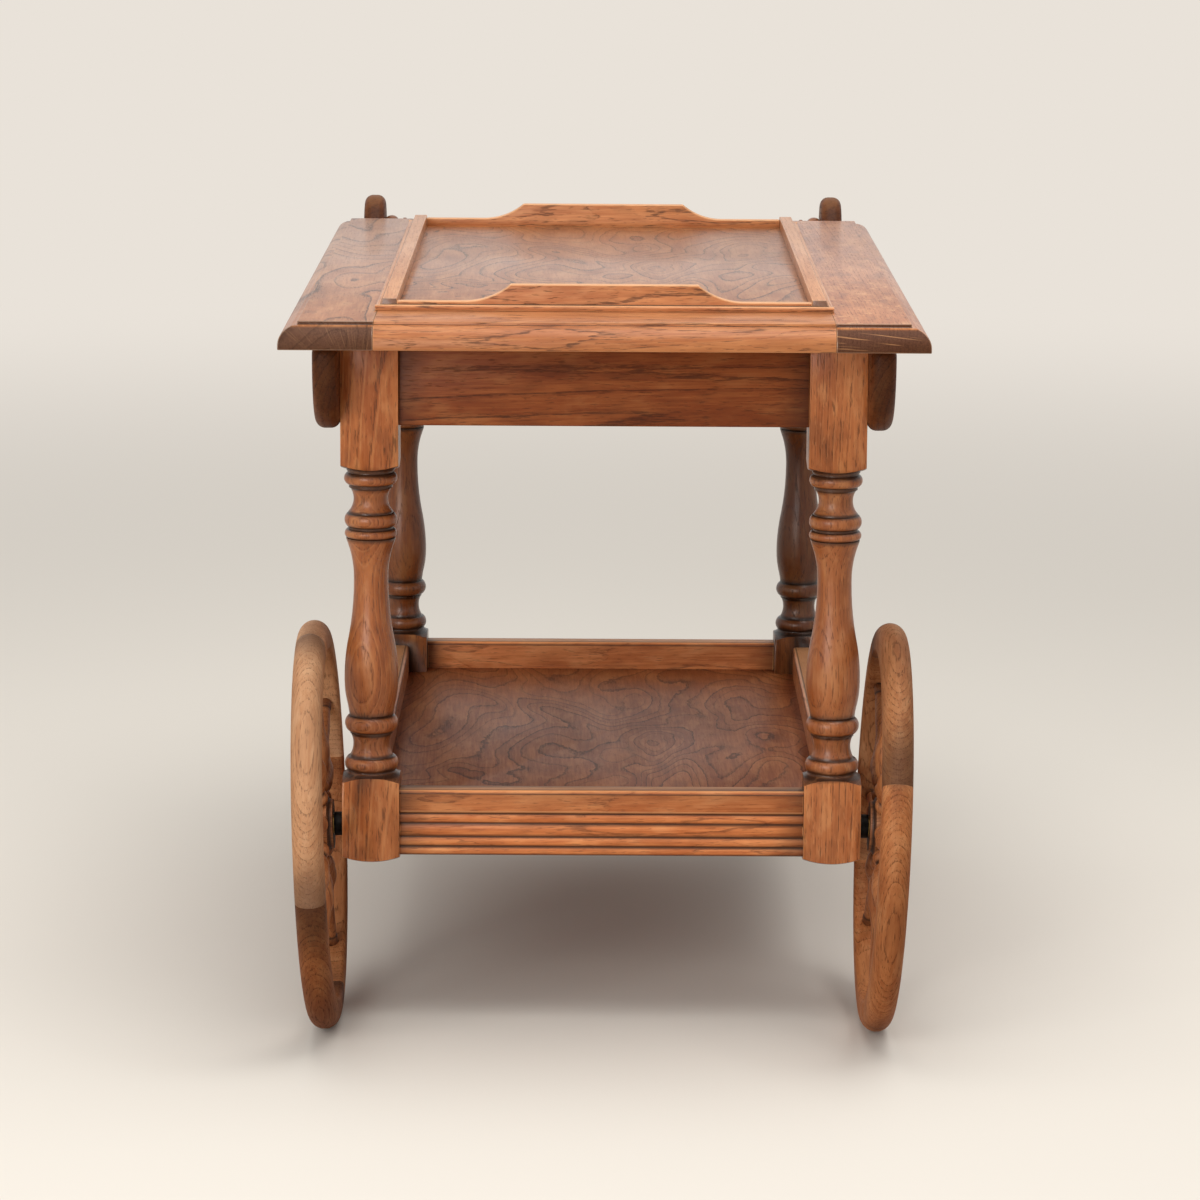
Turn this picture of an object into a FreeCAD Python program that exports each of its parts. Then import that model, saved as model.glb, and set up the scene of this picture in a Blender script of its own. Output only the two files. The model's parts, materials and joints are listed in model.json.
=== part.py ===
import FreeCAD, Part
import math
import os
from types import SimpleNamespace

import Sketcher

os.makedirs("parts", exist_ok=True)
document = FreeCAD.newDocument("ServingTrolley")

# Driving sizes in millimetres and degrees, measured from the floor and the middle of the top.
SIZES = {
    "top_wide": 550,
    "top_long": 886.7,
    "top_thick": 23,
    "top_surface": 638.5,
    "moulding_foot": 4,
    "moulding_fillet": 3,
    "side_board_wide": 80,
    "end_rail_wide": 96,
    "tongue_thick": 6,
    "tongue_long": 8,
    "groove_spare": 0.5,
    "groove_stop": 30,
    "gallery_side_margin": 78,
    "strip_wide": 18.5,
    "strip_top_wide": 12,
    "strip_high": 10.5,
    "strip_ledge_high": 5,
    "strip_slope": 2,
    "gallery_front_margin": 92.35,
    "gallery_back_margin": 82.35,
    "crest_thick": 10,
    "crest_high": 22.8,
    "crest_low": 8.1,
    "crest_flat_wide": 161,
    "crest_scoop_wide": 240,
    "crest_scoop_radius": 60.7,
    "gallery_bead_wide": 4.5,
    "gallery_bead_round": 2.5,
    "gallery_let_in": 2,
    "leg_square": 50,
    "leg_side_margin": 47.6,
    "leg_end_margin": 89.35,
    "leg_reach_share": 1.44,
    "leg_dome_radius": 75,
    "leg_block_long": 74.7,
    "leg_pad_inset": 0.3,
    "leg_head_long": 116,
    "mortise_spare": 0.2,
    "tenon_thick": 8,
    "tenon_long": 22,
    "apron_deep": 77.3,
    "apron_thick": 20,
    "apron_recess": 6,
    "apron_round": 1.5,
    "apron_tenon_shoulder": 7.8,
    "apron_tenon_haunch": 12.5,
    "corner_block_long": 60,
    "corner_block_high": 34,
    "top_screw_inset": 9,
    "top_screw_bite": 13.5,
    "top_screw_radius": 2.25,
    "top_screw_head_radius": 4.4,
    "top_screw_head_high": 3,
    "screw_spare": 0.05,
    "arm_thick": 21.6,
    "arm_deep": 81,
    "arm_front_margin": 43.35,
    "arm_nose_long": 65,
    "arm_corner_radius": 12,
    "arm_rise_radius": 78,
    "arm_rise_angle": 40,
    "arm_top_past": 3.65,
    "arm_round": 8.5,
    "handle_reach": 69.65,
    "handle_drop": 19.5,
    "handle_eye_radius": 35.3,
    "handle_bead_radius": 14,
    "handle_swell_radius": 12000,
    "handle_tenon_radius": 7,
    "handle_tenon_long": 14,
    "handle_hole_spare": 0.3,
    "arm_screw_inset": 13,
    "arm_screw_low_drop": 55.5,
    "arm_screw_high_drop": 20.5,
    "arm_screw_radius": 2.25,
    "arm_screw_bite": 24,
    "arm_screw_head_radius": 4.4,
    "arm_screw_head_high": 3,
    "pellet_radius": 6,
    "pellet_long": 5,
    "pellet_dome": 0.4,
    "shelf_rail_lift": 4.5,
    "shelf_rail_deep": 58.8,
    "shelf_rail_thick": 22,
    "shelf_rail_front_recess": 6,
    "shelf_rail_side_recess": 9.9,
    "shelf_rail_round": 4,
    "reed_one": 8,
    "reed_two": 16.6,
    "reed_three": 29,
    "reed_four": 37.5,
    "reed_deep": 1.8,
    "reed_first_rise": 1.56,
    "shelf_tenon_shoulder": 6.5,
    "shelf_tenon_haunch": 6.3,
    "shelf_side_tenon_long": 16,
    "shelf_lift": 31.2,
    "shelf_thick": 9,
    "batten_square": 15,
    "shelf_screw_radius": 2,
    "shelf_screw_bite": 11,
    "shelf_screw_head_radius": 3.5,
    "shelf_screw_head_high": 2.5,
    "shelf_screw_side_pitch": 200,
    "shelf_screw_front_pitch": 200,
    "wheel_gap": 20.65,
    "wheel_ahead": 0.3,
    "wheel_radius": 180,
    "wheel_camber": 2.06,
    "axle_above_block": 27.892,
    "left_wheel_angle": 80,
    "right_wheel_angle": 65,
    "rim_wide": 26,
    "rim_deep": 27,
    "rim_round": 4,
    "spoke_tenon_radius": 4.5,
    "spoke_hub_tenon_long": 12,
    "spoke_rim_tenon_long": 12,
    "spoke_hole_spare": 0.05,
    "spoke_hole_deeper": 0.5,
    "spoke_rim_gap": 0.2,
    "spoke_max_radius": 9.5,
    "hub_radius": 26,
    "hub_band_half": 7,
    "hub_inner_end": 12,
    "hub_inner_radius": 22,
    "hub_inner_flange": 3,
    "hub_outer_end": 18,
    "hub_outer_radius": 17,
    "hub_outer_lip": 4,
    "hub_cove_radius": 12,
    "hub_cavity_radius": 11.5,
    "hub_cavity_deep": 5.8,
    "bush_radius": 9,
    "bush_past": 0.7,
    "bush_short": 0.2,
    "running_spare": 0.05,
    "axle_radius": 6,
    "axle_bite": 24.35,
    "axle_past_nut": 1.2,
    "collar_radius": 10.5,
    "collar_deep": 2.55,
    "collar_gap": 0.3,
    "washer_gap": 0.3,
    "washer_radius": 10,
    "washer_thick": 2,
    "nut_flats": 16,
    "nut_thick": 5,
    "cap_radius": 14,
    "cap_spigot_long": 2.5,
    "cap_spigot_wall": 1.4,
    "cap_rim_thick": 2,
    "cap_dome_high": 5.3,
    "cap_cavity_radius": 8,
    "cap_cavity_deep": 1.8,
    "castor_trail": 15,
    "castor_wheel_radius": 25,
    "castor_wheel_half": 7.5,
    "castor_boss_long": 2.2,
    "castor_boss_radius": 9,
    "castor_wheel_round": 3,
    "castor_bore_spare": 0.05,
    "castor_axle_radius": 2.5,
    "castor_axle_head_radius": 4,
    "castor_axle_head_long": 2,
    "fork_boss_gap": 0.3,
    "fork_cheek_thick": 3,
    "fork_top_gap": 10,
    "fork_plate_thick": 6,
    "fork_plate_half": 13,
    "fork_eye_radius": 7,
    "fork_corner_radius": 60,
    "stem_radius": 4,
    "stem_peg_long": 32,
    "stem_flange_thick": 5.7,
    "stem_flange_radius": 16,
    "stem_head_long": 2.7,
    "swivel_gap": 0.3,
    "stem_head_radius": 6.5,
}

# Radius, height and the rise of the arc that starts there, as shares of half the leg, of the
# turned length and of half the leg again.
TURNING_SHARES = [
    (0.8800, 0.0077),
    (0.8400, 0.0121, 0.1041, "out"),
    (0.8400, 0.0561),
    (0.7520, 0.0576),
    (0.7520, 0.0612, 0.0984, "in"),
    (0.7280, 0.1331),
    (0.7520, 0.1331),
    (0.7520, 0.1386),
    (0.7600, 0.1386, 0.1753, "out"),
    (0.7600, 0.1935),
    (0.7800, 0.1935),
    (0.7800, 0.1990),
    (0.8264, 0.2247, 0.0300, "out"),
    (0.9440, 0.3090, 0.0406, "out"),
    (0.7840, 0.4520, 0.0465, "in"),
    (0.6000, 0.6353),
    (0.6000, 0.6426, 0.0352, "in"),
    (0.7400, 0.7342),
    (0.8600, 0.7672),
    (0.8600, 0.7709),
    (0.8200, 0.7709, 0.0917, "out"),
    (0.8200, 0.8002),
    (0.7800, 0.8002),
    (0.7800, 0.8076),
    (0.8080, 0.8076, 0.1114, "out"),
    (0.8080, 0.8515),
    (0.7800, 0.8515),
    (0.7800, 0.8552, 0.1562, "in"),
    (0.7280, 0.9340),
    (0.7600, 0.9340),
    (0.7600, 0.9432),
    (0.7800, 0.9432, 0.1476, "out"),
    (0.7800, 0.9835),
    (0.8400, 0.9894),
]
FOOT_SHARES = [
    (0.6000, 0.0000),
    (0.6000, 0.0250),
    (0.6400, 0.0250, 0.1000, "out"),
    (0.6400, 0.1250),
    (0.5800, 0.1250),
    (0.5800, 0.1437, 0.0457, "in"),
    (0.8000, 0.7625),
    (0.8200, 0.7750, 0.1200, "out"),
    (0.8200, 0.9250),
    (0.7800, 0.9313),
]
# The same for a spoke: shares of its greatest radius, of its bare length and of that radius.
SPOKE_SHARES = [
    (0.6300, 0.0000),
    (0.6300, 0.0160),
    (0.7000, 0.0160, 0.2566, "out"),
    (0.7000, 0.0950),
    (0.5400, 0.1000),
    (0.5400, 0.1180),
    (0.6600, 0.1250, 0.1217, "out"),
    (1.0000, 0.2400, 0.1632, "out"),
    (0.8200, 0.4000, 0.1445, "in"),
    (0.5600, 0.7000),
    (0.5400, 0.9300),
    (0.6200, 0.9400),
    (0.6200, 1.0000),
]
# The same for half the push bar: shares of its bead radius, half length and bead radius.
BAR_SHARES = [
    (0.7000, 0.9000),
    (0.8400, 0.9060),
    (0.8400, 0.9180),
    (0.7100, 0.9240),
    (0.7100, 0.9420),
    (0.8000, 0.9440, 0.2142, "out"),
    (0.8000, 1.0000),
]


class Length:
    """A size together with the expression that gives it in the sheet."""

    def __init__(self, value, text):
        self.value = value
        self.text = text

    @staticmethod
    def of(item):
        if isinstance(item, Length):
            return item
        return Length(float(item), f"({float(item):.6f})")

    def __add__(self, other):
        other = Length.of(other)
        return Length(self.value + other.value, f"({self.text} + {other.text})")

    def __sub__(self, other):
        other = Length.of(other)
        return Length(self.value - other.value, f"({self.text} - {other.text})")

    def __mul__(self, other):
        other = Length.of(other)
        return Length(self.value * other.value, f"({self.text} * {other.text})")

    def __truediv__(self, other):
        other = Length.of(other)
        return Length(self.value / other.value, f"({self.text} / {other.text})")

    def __neg__(self):
        return Length.of(0) - self


def root(length):
    return Length(math.sqrt(length.value), f"sqrt({length.text})")


def bow(across, along, rise):
    """The radius of an arc over a chord of the given reach that rises by the given size."""
    return ((across * across + along * along) / 4 + rise * rise) / (rise * 2)


def cosine(angle):
    return Length(math.cos(math.radians(angle.value)), f"cos({angle.text})")


def sine(angle):
    return Length(math.sin(math.radians(angle.value)), f"sin({angle.text})")


def fill_sheet():
    """Write every driving size in the sheet and return the sizes by name."""
    sheet = document.addObject("Spreadsheet::Sheet", "Sizes")
    lengths = {}
    for row, (name, value) in enumerate(SIZES.items(), 1):
        sheet.set(f"A{row}", name)
        sheet.set(f"B{row}", str(value))
        sheet.setAlias(f"B{row}", name)
        lengths[name] = Length(float(value), f"Sizes.{name}")
    document.recompute()
    return SimpleNamespace(**lengths)


s = fill_sheet()
zero = Length.of(0)
underside = s.top_surface - s.top_thick
top_x = s.top_wide / 2
top_y = s.top_long / 2
moulding = s.top_thick - s.moulding_fillet - s.moulding_foot
half_leg = s.leg_square / 2
leg_reach = half_leg * s.leg_reach_share
leg_outer_x = top_x - s.leg_side_margin
leg_outer_y = top_y - s.leg_end_margin
leg_x = leg_outer_x - half_leg
leg_y = leg_outer_y - half_leg
leg_inner_x = leg_x - half_leg
leg_inner_y = leg_y - half_leg
wheel_x = leg_outer_x + s.wheel_gap
wheel_y = leg_y + s.wheel_ahead
wheel_z = (s.wheel_radius - s.rim_wide / 2) * cosine(s.wheel_camber) + s.rim_wide / 2
leg_block_low = wheel_z - s.axle_above_block
leg_block_high = leg_block_low + s.leg_block_long
leg_head_low = underside - s.leg_head_long
apron_low = underside - s.apron_deep
apron_tenon_z = (apron_low + s.apron_tenon_shoulder, underside - s.apron_tenon_haunch)
shelf_rail_y = leg_outer_y - s.shelf_rail_front_recess
shelf_rail_x = leg_outer_x - s.shelf_rail_side_recess
shelf_rail_low = leg_block_low + s.shelf_rail_lift
shelf_rail_high = shelf_rail_low + s.shelf_rail_deep
shelf_tenon_z = (shelf_rail_low + s.shelf_tenon_shoulder, shelf_rail_high - s.shelf_tenon_haunch)
shelf_surface = shelf_rail_low + s.shelf_lift
arm_low = underside - s.arm_deep
arm_screw_y = leg_outer_y - s.arm_screw_inset
arm_screw_heights = (underside - s.arm_screw_low_drop, underside - s.arm_screw_high_drop)
handle_y = top_y + s.handle_reach
handle_z = s.top_surface - s.handle_drop
middle = (handle_y + s.handle_eye_radius - wheel_y - s.wheel_radius) / 2
fork_low = s.castor_wheel_radius * 2 + s.fork_top_gap
fork_high = fork_low + s.fork_plate_thick
flange_low = fork_high + s.swivel_gap
leg_foot_end = flange_low + s.stem_flange_thick
peg_end = leg_foot_end + s.stem_peg_long
castor_boss_half = s.castor_wheel_half + s.castor_boss_long
fork_inner_half = castor_boss_half + s.fork_boss_gap
rim_inner = s.wheel_radius - s.rim_deep
hub_cavity_floor = s.hub_outer_end - s.hub_cavity_deep
bush_inner_end = s.hub_inner_end + s.bush_past
bush_outer_end = hub_cavity_floor - s.bush_short
washer_start = bush_outer_end + s.washer_gap
nut_start = washer_start + s.washer_thick
axle_inner_end = s.wheel_gap + s.axle_bite
axle_outer_end = nut_start + s.nut_thick + s.axle_past_nut
collar_seat = s.wheel_gap + s.collar_deep


def bind(thing, name, length):
    thing.setExpression(name, length.text)


def put(thing, x, y, z, turn=FreeCAD.Rotation()):
    """Place an object by named sizes."""
    thing.Placement = FreeCAD.Placement(FreeCAD.Vector(x.value, y.value, z.value), turn)
    bind(thing, "Placement.Base.x", x)
    bind(thing, "Placement.Base.y", y)
    bind(thing, "Placement.Base.z", z)
    return thing


def block(name, x_range, y_range, z_range):
    """A box between two values on each axis."""
    box = document.addObject("Part::Box", name)
    bind(box, "Length", x_range[1] - x_range[0])
    bind(box, "Width", y_range[1] - y_range[0])
    bind(box, "Height", z_range[1] - z_range[0])
    return put(box, x_range[0], y_range[0], z_range[0])


def rod(name, radius, long, start, turn=FreeCAD.Rotation()):
    """A cylinder that starts at a point and runs along the turned Z axis."""
    cylinder = document.addObject("Part::Cylinder", name)
    bind(cylinder, "Radius", radius)
    bind(cylinder, "Height", long)
    return put(cylinder, start[0], start[1], start[2], turn)


def joined(name, things):
    fusion = document.addObject("Part::MultiFuse", name)
    fusion.Shapes = things
    return fusion


def grouped(name, things):
    group = document.addObject("Part::Compound", name)
    group.Links = things
    return group


def common(name, things):
    shared = document.addObject("Part::MultiCommon", name)
    shared.Shapes = things
    return shared


def cut(name, base, tools):
    """Take the tools away from the base."""
    result = document.addObject("Part::Cut", name)
    result.Base = base
    result.Tool = tools[0] if len(tools) == 1 else grouped(f"{name}_cutters", tools)
    return result


def arc_middle(start, end, radius, side):
    """The point half-way along an arc, for the first drawing of it."""
    across = end - start
    half = across.Length / 2
    rise = radius - math.sqrt(max(radius * radius - half * half, 0))
    normal = FreeCAD.Vector(across.y, -across.x, 0).normalize()
    if side == "in":
        normal = normal * -1
    return (start + end) * 0.5 + normal * rise


def draw(body, role, corners):
    """Draw a closed outline whose corners and arcs are all held by the sheet."""
    sketch = body.newObject("Sketcher::SketchObject", f"{body.Name}_outline")
    plane = [item for item in body.Origin.OriginFeatures if item.Role == role][0]
    sketch.AttachmentSupport = [(plane, "")]
    sketch.MapMode = "FlatFace"
    points = [FreeCAD.Vector(corner[0].value, corner[1].value, 0) for corner in corners]
    edges = []
    for index, corner in enumerate(corners):
        start = points[index]
        end = points[(index + 1) % len(points)]
        if len(corner) > 2:
            halfway = arc_middle(start, end, corner[2].value, corner[3])
            edges.append(Part.Arc(start, halfway, end))
        else:
            edges.append(Part.LineSegment(start, end))
    sketch.addGeometry(edges, False)
    firsts = []
    for index, corner in enumerate(corners):
        forward = len(corner) < 3 or corner[3] == "out"
        firsts.append((1, 2) if forward else (2, 1))
    rules = []
    texts = []
    for index, corner in enumerate(corners):
        after = (index + 1) % len(corners)
        rules.append(Sketcher.Constraint(
            "Coincident", index, firsts[index][1], after, firsts[after][0]))
        texts.append(None)
        for kind, length in (("DistanceX", corner[0]), ("DistanceY", corner[1])):
            rules.append(Sketcher.Constraint(kind, -1, 1, index, firsts[index][0], length.value))
            texts.append(length.text)
        if len(corner) > 2:
            rules.append(Sketcher.Constraint("Radius", index, corner[2].value))
            texts.append(corner[2].text)
    sketch.addConstraint(rules)
    for number, text in enumerate(texts):
        if text:
            sketch.setExpression(f"Constraints[{number}]", text)
    return sketch


def slab(name, role, corners, low, high):
    """An outline padded between two values on the axis square to it."""
    body = document.addObject("PartDesign::Body", name)
    sketch = draw(body, role, corners)
    start = -high if role == "XZ_Plane" else low
    bind(sketch, "AttachmentOffset.Base.z", start)
    pad = body.newObject("PartDesign::Pad", f"{name}_pad")
    pad.Profile = sketch
    bind(pad, "Length", high - low)
    sketch.Visibility = False
    return body


def turned(name, corners, degrees=360):
    """A body turned round the Z axis from radius and height corners."""
    body = document.addObject("PartDesign::Body", name)
    sketch = draw(body, "XZ_Plane", corners)
    lathe = body.newObject("PartDesign::Revolution", f"{name}_turning")
    lathe.Profile = sketch
    lathe.ReferenceAxis = (sketch, ["V_Axis"])
    lathe.Angle = degrees
    sketch.Visibility = False
    return body


def scaled(shares, across, along, start):
    """Corners from a share table; the rises of its arcs are shares of the across size."""
    corners = []
    for index, row in enumerate(shares):
        corner = [across * row[0], start + along * row[1]]
        if len(row) > 2:
            after = shares[index + 1]
            radius = bow(across * (after[0] - row[0]), along * (after[1] - row[1]), across * row[2])
            corner += [radius, row[3]]
        corners.append(tuple(corner))
    return corners


def mirrored(corners, flip):
    """Corners mirrored in the first axis when flip is set, still drawn the same way round."""
    if not flip:
        return corners
    count = len(corners)
    result = []
    for index in range(count):
        here = corners[(count - index) % count]
        before = corners[count - index - 1]
        point = (-here[0], here[1])
        result.append(point + tuple(before[2:]))
    return result


def about(axis, degrees):
    vectors = {"X": FreeCAD.Vector(1, 0, 0), "Y": FreeCAD.Vector(0, 1, 0), "Z": FreeCAD.Vector(0, 0, 1)}
    return FreeCAD.Rotation(vectors[axis], degrees)


NODES = {}


def publish(name, thing, x=zero, y=zero, z=zero, turn=FreeCAD.Rotation()):
    """Keep a finished piece as a node, moved so that the box middle is the origin."""
    thing.Label = name
    put(thing, x, y - middle, z, turn)
    NODES[name] = thing


def top_edge(outer, inner):
    """Corners of a board section from its moulded outer edge to its plain inner edge."""
    flat = outer - moulding
    step = s.top_surface - s.moulding_fillet
    return [
        (inner, underside),
        (outer, underside),
        (outer, underside + s.moulding_foot, moulding, "out"),
        (flat, step),
        (flat, s.top_surface),
        (inner, s.top_surface),
    ]


def whole_length(name):
    """The top's lengthwise section with the moulding at both ends."""
    end = top_y
    flat = end - moulding
    step = s.top_surface - s.moulding_fillet
    square = underside + s.moulding_foot
    corners = [
        (-end, underside),
        (end, underside),
        (end, square, moulding, "out"),
        (flat, step),
        (flat, s.top_surface),
        (-flat, s.top_surface),
        (-flat, step, moulding, "out"),
        (-end, square),
    ]
    return slab(name, "YZ_Plane", corners, -top_x, top_x)


tongue_middle = s.top_surface - s.top_thick / 2
tongue_z = (tongue_middle - s.tongue_thick / 2, tongue_middle + s.tongue_thick / 2)
frame_x = top_x - s.side_board_wide
frame_y = top_y - s.end_rail_wide
groove_deep = s.tongue_long + s.groove_spare
gallery_x = top_x - s.gallery_side_margin
gallery_faces = {-1: top_y - s.gallery_front_margin, 1: top_y - s.gallery_back_margin}
gallery_clear_x = gallery_x - s.strip_wide
gallery_clear_y = gallery_faces[-1] - s.crest_thick
gallery_seat = (s.top_surface - s.gallery_let_in, s.top_surface)
screw_x = leg_inner_x - s.top_screw_inset
screw_y = leg_inner_y - s.top_screw_inset


def side_board(name, sign):
    """A full-length top board, moulded outside and at both ends, grooved inside."""
    corners = mirrored(top_edge(top_x, frame_x), sign < 0)
    section = slab(f"{name}_section", "XZ_Plane", corners, -top_y, top_y)
    board = common(f"{name}_board", [section, whole_length(f"{name}_length")])
    end = top_y - s.groove_stop
    near = frame_x * sign if sign > 0 else -(frame_x + groove_deep)
    groove = block(f"{name}_groove", (near, near + groove_deep), (-end, end), tongue_z)
    publish(name, cut(name, board, [groove]))


def end_rail(name, sign):
    """A cross rail with the moulding outside, a groove inside and a stub tenon at each end."""
    corners = mirrored(top_edge(top_y, frame_y), sign < 0)
    bar = slab(f"{name}_bar", "YZ_Plane", corners, -frame_x, frame_x)
    outer = top_y - s.groove_stop
    span = (frame_y, outer) if sign > 0 else (-outer, -frame_y)
    reach = frame_x + s.tongue_long
    tenons = block(f"{name}_tenons", (-reach, reach), span, tongue_z)
    near = frame_y if sign > 0 else -(frame_y + groove_deep)
    wide = (-(frame_x + groove_deep), frame_x + groove_deep)
    groove = block(f"{name}_groove", wide, (near, near + groove_deep), tongue_z)
    publish(name, cut(name, joined(f"{name}_whole", [bar, tenons]), [groove]))


def corner_signs():
    return [(x, y) for x in (-1, 1) for y in (-1, 1)]


def top_panel():
    """The panel with a tongue all round, its rim lowered where the gallery is let in."""
    field = block("panel_field", (-frame_x, frame_x), (-frame_y, frame_y), (underside, gallery_seat[0]))
    clear = (-gallery_clear_x, gallery_clear_x)
    raised = block("panel_raised", clear, (-gallery_clear_y, frame_y), gallery_seat)
    reach_x = frame_x + s.tongue_long
    reach_y = frame_y + s.tongue_long
    tongue = block("panel_tongue", (-reach_x, reach_x), (-reach_y, reach_y), tongue_z)
    holes = []
    radius = s.top_screw_radius + s.screw_spare
    for number, (x, y) in enumerate(corner_signs()):
        start = (screw_x * x, screw_y * y, underside)
        holes.append(rod(f"panel_hole_{number}", radius, s.top_screw_bite + s.screw_spare, start))
    publish("top_panel", cut("top_panel", joined("panel_whole", [field, raised, tongue]), holes))


def gallery_strip(name, sign):
    """A low side strip with a ledge along its foot, let into the panel."""
    outer = gallery_x
    inner = gallery_clear_x
    foot = s.top_surface
    ledge = foot + s.strip_ledge_high
    top = foot + s.strip_high
    shoulder = inner + s.strip_top_wide
    corners = [
        (inner, foot),
        (outer, foot),
        (outer, ledge - s.gallery_bead_round, s.gallery_bead_round, "out"),
        (outer - s.gallery_bead_round, ledge),
        (shoulder + s.strip_slope, ledge),
        (shoulder, top),
        (inner, top),
    ]
    corners = mirrored(corners, sign < 0)
    strip = slab(f"{name}_strip", "XZ_Plane", corners, -gallery_faces[-1], gallery_faces[1])
    across = ordered(inner * sign, frame_x * sign)
    let_in = block(f"{name}_let_in", across, (-frame_y, frame_y), gallery_seat)
    publish(name, joined(name, [strip, let_in]))


def gallery_crest(name, sign):
    """An upright crest board with a bead along its outer foot; the front one is let into the panel."""
    face = gallery_faces[sign]
    half = gallery_clear_x
    foot = s.top_surface
    low = foot + s.crest_low
    high = foot + s.crest_high
    flat = s.crest_flat_wide / 2
    scoop = s.crest_scoop_wide / 2
    corners = [
        (-half, foot),
        (half, foot),
        (half, low),
        (scoop, low, s.crest_scoop_radius, "in"),
        (flat, high),
        (-flat, high, s.crest_scoop_radius, "in"),
        (-scoop, low),
        (-half, low),
    ]
    outer = face * sign
    inner = (face - s.crest_thick) * sign
    span = (outer, inner) if sign < 0 else (inner, outer)
    crest = slab(f"{name}_crest", "XZ_Plane", corners, span[0], span[1])
    bead_top = foot + s.strip_ledge_high
    section = [
        (face, foot),
        (face + s.gallery_bead_wide, foot),
        (face + s.gallery_bead_wide, bead_top - s.gallery_bead_round, s.gallery_bead_round, "out"),
        (face + s.gallery_bead_wide - s.gallery_bead_round, bead_top),
        (face, bead_top),
    ]
    bead = slab(f"{name}_bead", "YZ_Plane", mirrored(section, sign < 0), -gallery_x, gallery_x)
    pieces = [crest, bead]
    if sign < 0:
        pieces.append(block(f"{name}_let_in", (-half, half), (-frame_y, -gallery_clear_y), gallery_seat))
    publish(name, joined(name, pieces))


def leg_profile(foot):
    """The turned outline of a leg, wider than the square where the leg stays square."""
    squared = s.leg_dome_radius * s.leg_dome_radius
    drop = root(squared - half_leg * half_leg)
    edge = root(squared - leg_reach * leg_reach)
    pad_radius = half_leg - s.leg_pad_inset
    pad = root(squared - pad_radius * pad_radius)
    neck_radius = half_leg * TURNING_SHARES[-1][0]
    neck = root(squared - neck_radius * neck_radius)
    low_centre = leg_block_low + drop
    high_centre = leg_block_high - drop
    head_centre = leg_head_low + drop
    corners = []
    if foot:
        ankle_radius = half_leg * FOOT_SHARES[-1][0]
        ankle = root(squared - ankle_radius * ankle_radius)
        corners.append((zero, leg_foot_end))
        corners += scaled(FOOT_SHARES, half_leg, leg_block_low - leg_foot_end, leg_foot_end)
        corners.append((ankle_radius, low_centre - ankle, s.leg_dome_radius, "out"))
    else:
        corners.append((zero, low_centre - s.leg_dome_radius, s.leg_dome_radius, "out"))
    corners.append((leg_reach, low_centre - edge))
    corners.append((leg_reach, high_centre + edge, s.leg_dome_radius, "out"))
    corners.append((pad_radius, high_centre + pad))
    corners += scaled(TURNING_SHARES, half_leg, leg_head_low - leg_block_high, leg_block_high)
    corners.append((neck_radius, head_centre - neck, s.leg_dome_radius, "out"))
    corners.append((leg_reach, head_centre - edge))
    corners.append((leg_reach, underside))
    corners.append((zero, underside))
    return corners


def ordered(first, second):
    return (first, second) if first.value < second.value else (second, first)


def leg_mortises(name, x, y):
    """Cutters for the apron and shelf rail tenons of the leg at the given signs."""
    spare = s.mortise_spare
    half = s.tenon_thick / 2 + spare
    apron_z = (apron_tenon_z[0] - spare, apron_tenon_z[1] + spare)
    shelf_z = (shelf_tenon_z[0] - spare, shelf_tenon_z[1] + spare)
    apron_y = leg_outer_y - s.apron_recess - s.apron_thick / 2
    apron_x = leg_outer_x - s.apron_recess - s.apron_thick / 2
    shelf_y = shelf_rail_y - s.shelf_rail_thick / 2
    shelf_x = shelf_rail_x - s.shelf_rail_thick / 2
    deep = leg_inner_x + s.tenon_long + spare
    deep_y = leg_inner_y + s.tenon_long + spare
    short_y = leg_inner_y + s.shelf_side_tenon_long + spare
    spans = [
        ((leg_inner_x, deep), (apron_y - half, apron_y + half), apron_z),
        ((apron_x - half, apron_x + half), (leg_inner_y, deep_y), apron_z),
        ((leg_inner_x, deep), (shelf_y - half, shelf_y + half), shelf_z),
        ((shelf_x - half, shelf_x + half), (leg_inner_y, short_y), shelf_z),
    ]
    cutters = []
    for number, (wide, long, high) in enumerate(spans):
        across = ordered(wide[0] * x, wide[1] * x)
        along = ordered(long[0] * y, long[1] * y)
        cutters.append(block(f"{name}_mortise_{number}", across, along, high))
    return cutters


def arm_screw_places():
    places = []
    for x in (-1, 1):
        for y in (-1, 1):
            for high in arm_screw_heights:
                places.append((x, arm_screw_y * y, high))
    return places


def wheel_turn(sign, spin=0):
    """The turn that lays the wheel's own Z axis outwards and slightly down."""
    tilt = about("Y", sign * (90 + s.wheel_camber.value))
    return tilt.multiply(about("Z", spin))


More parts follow.
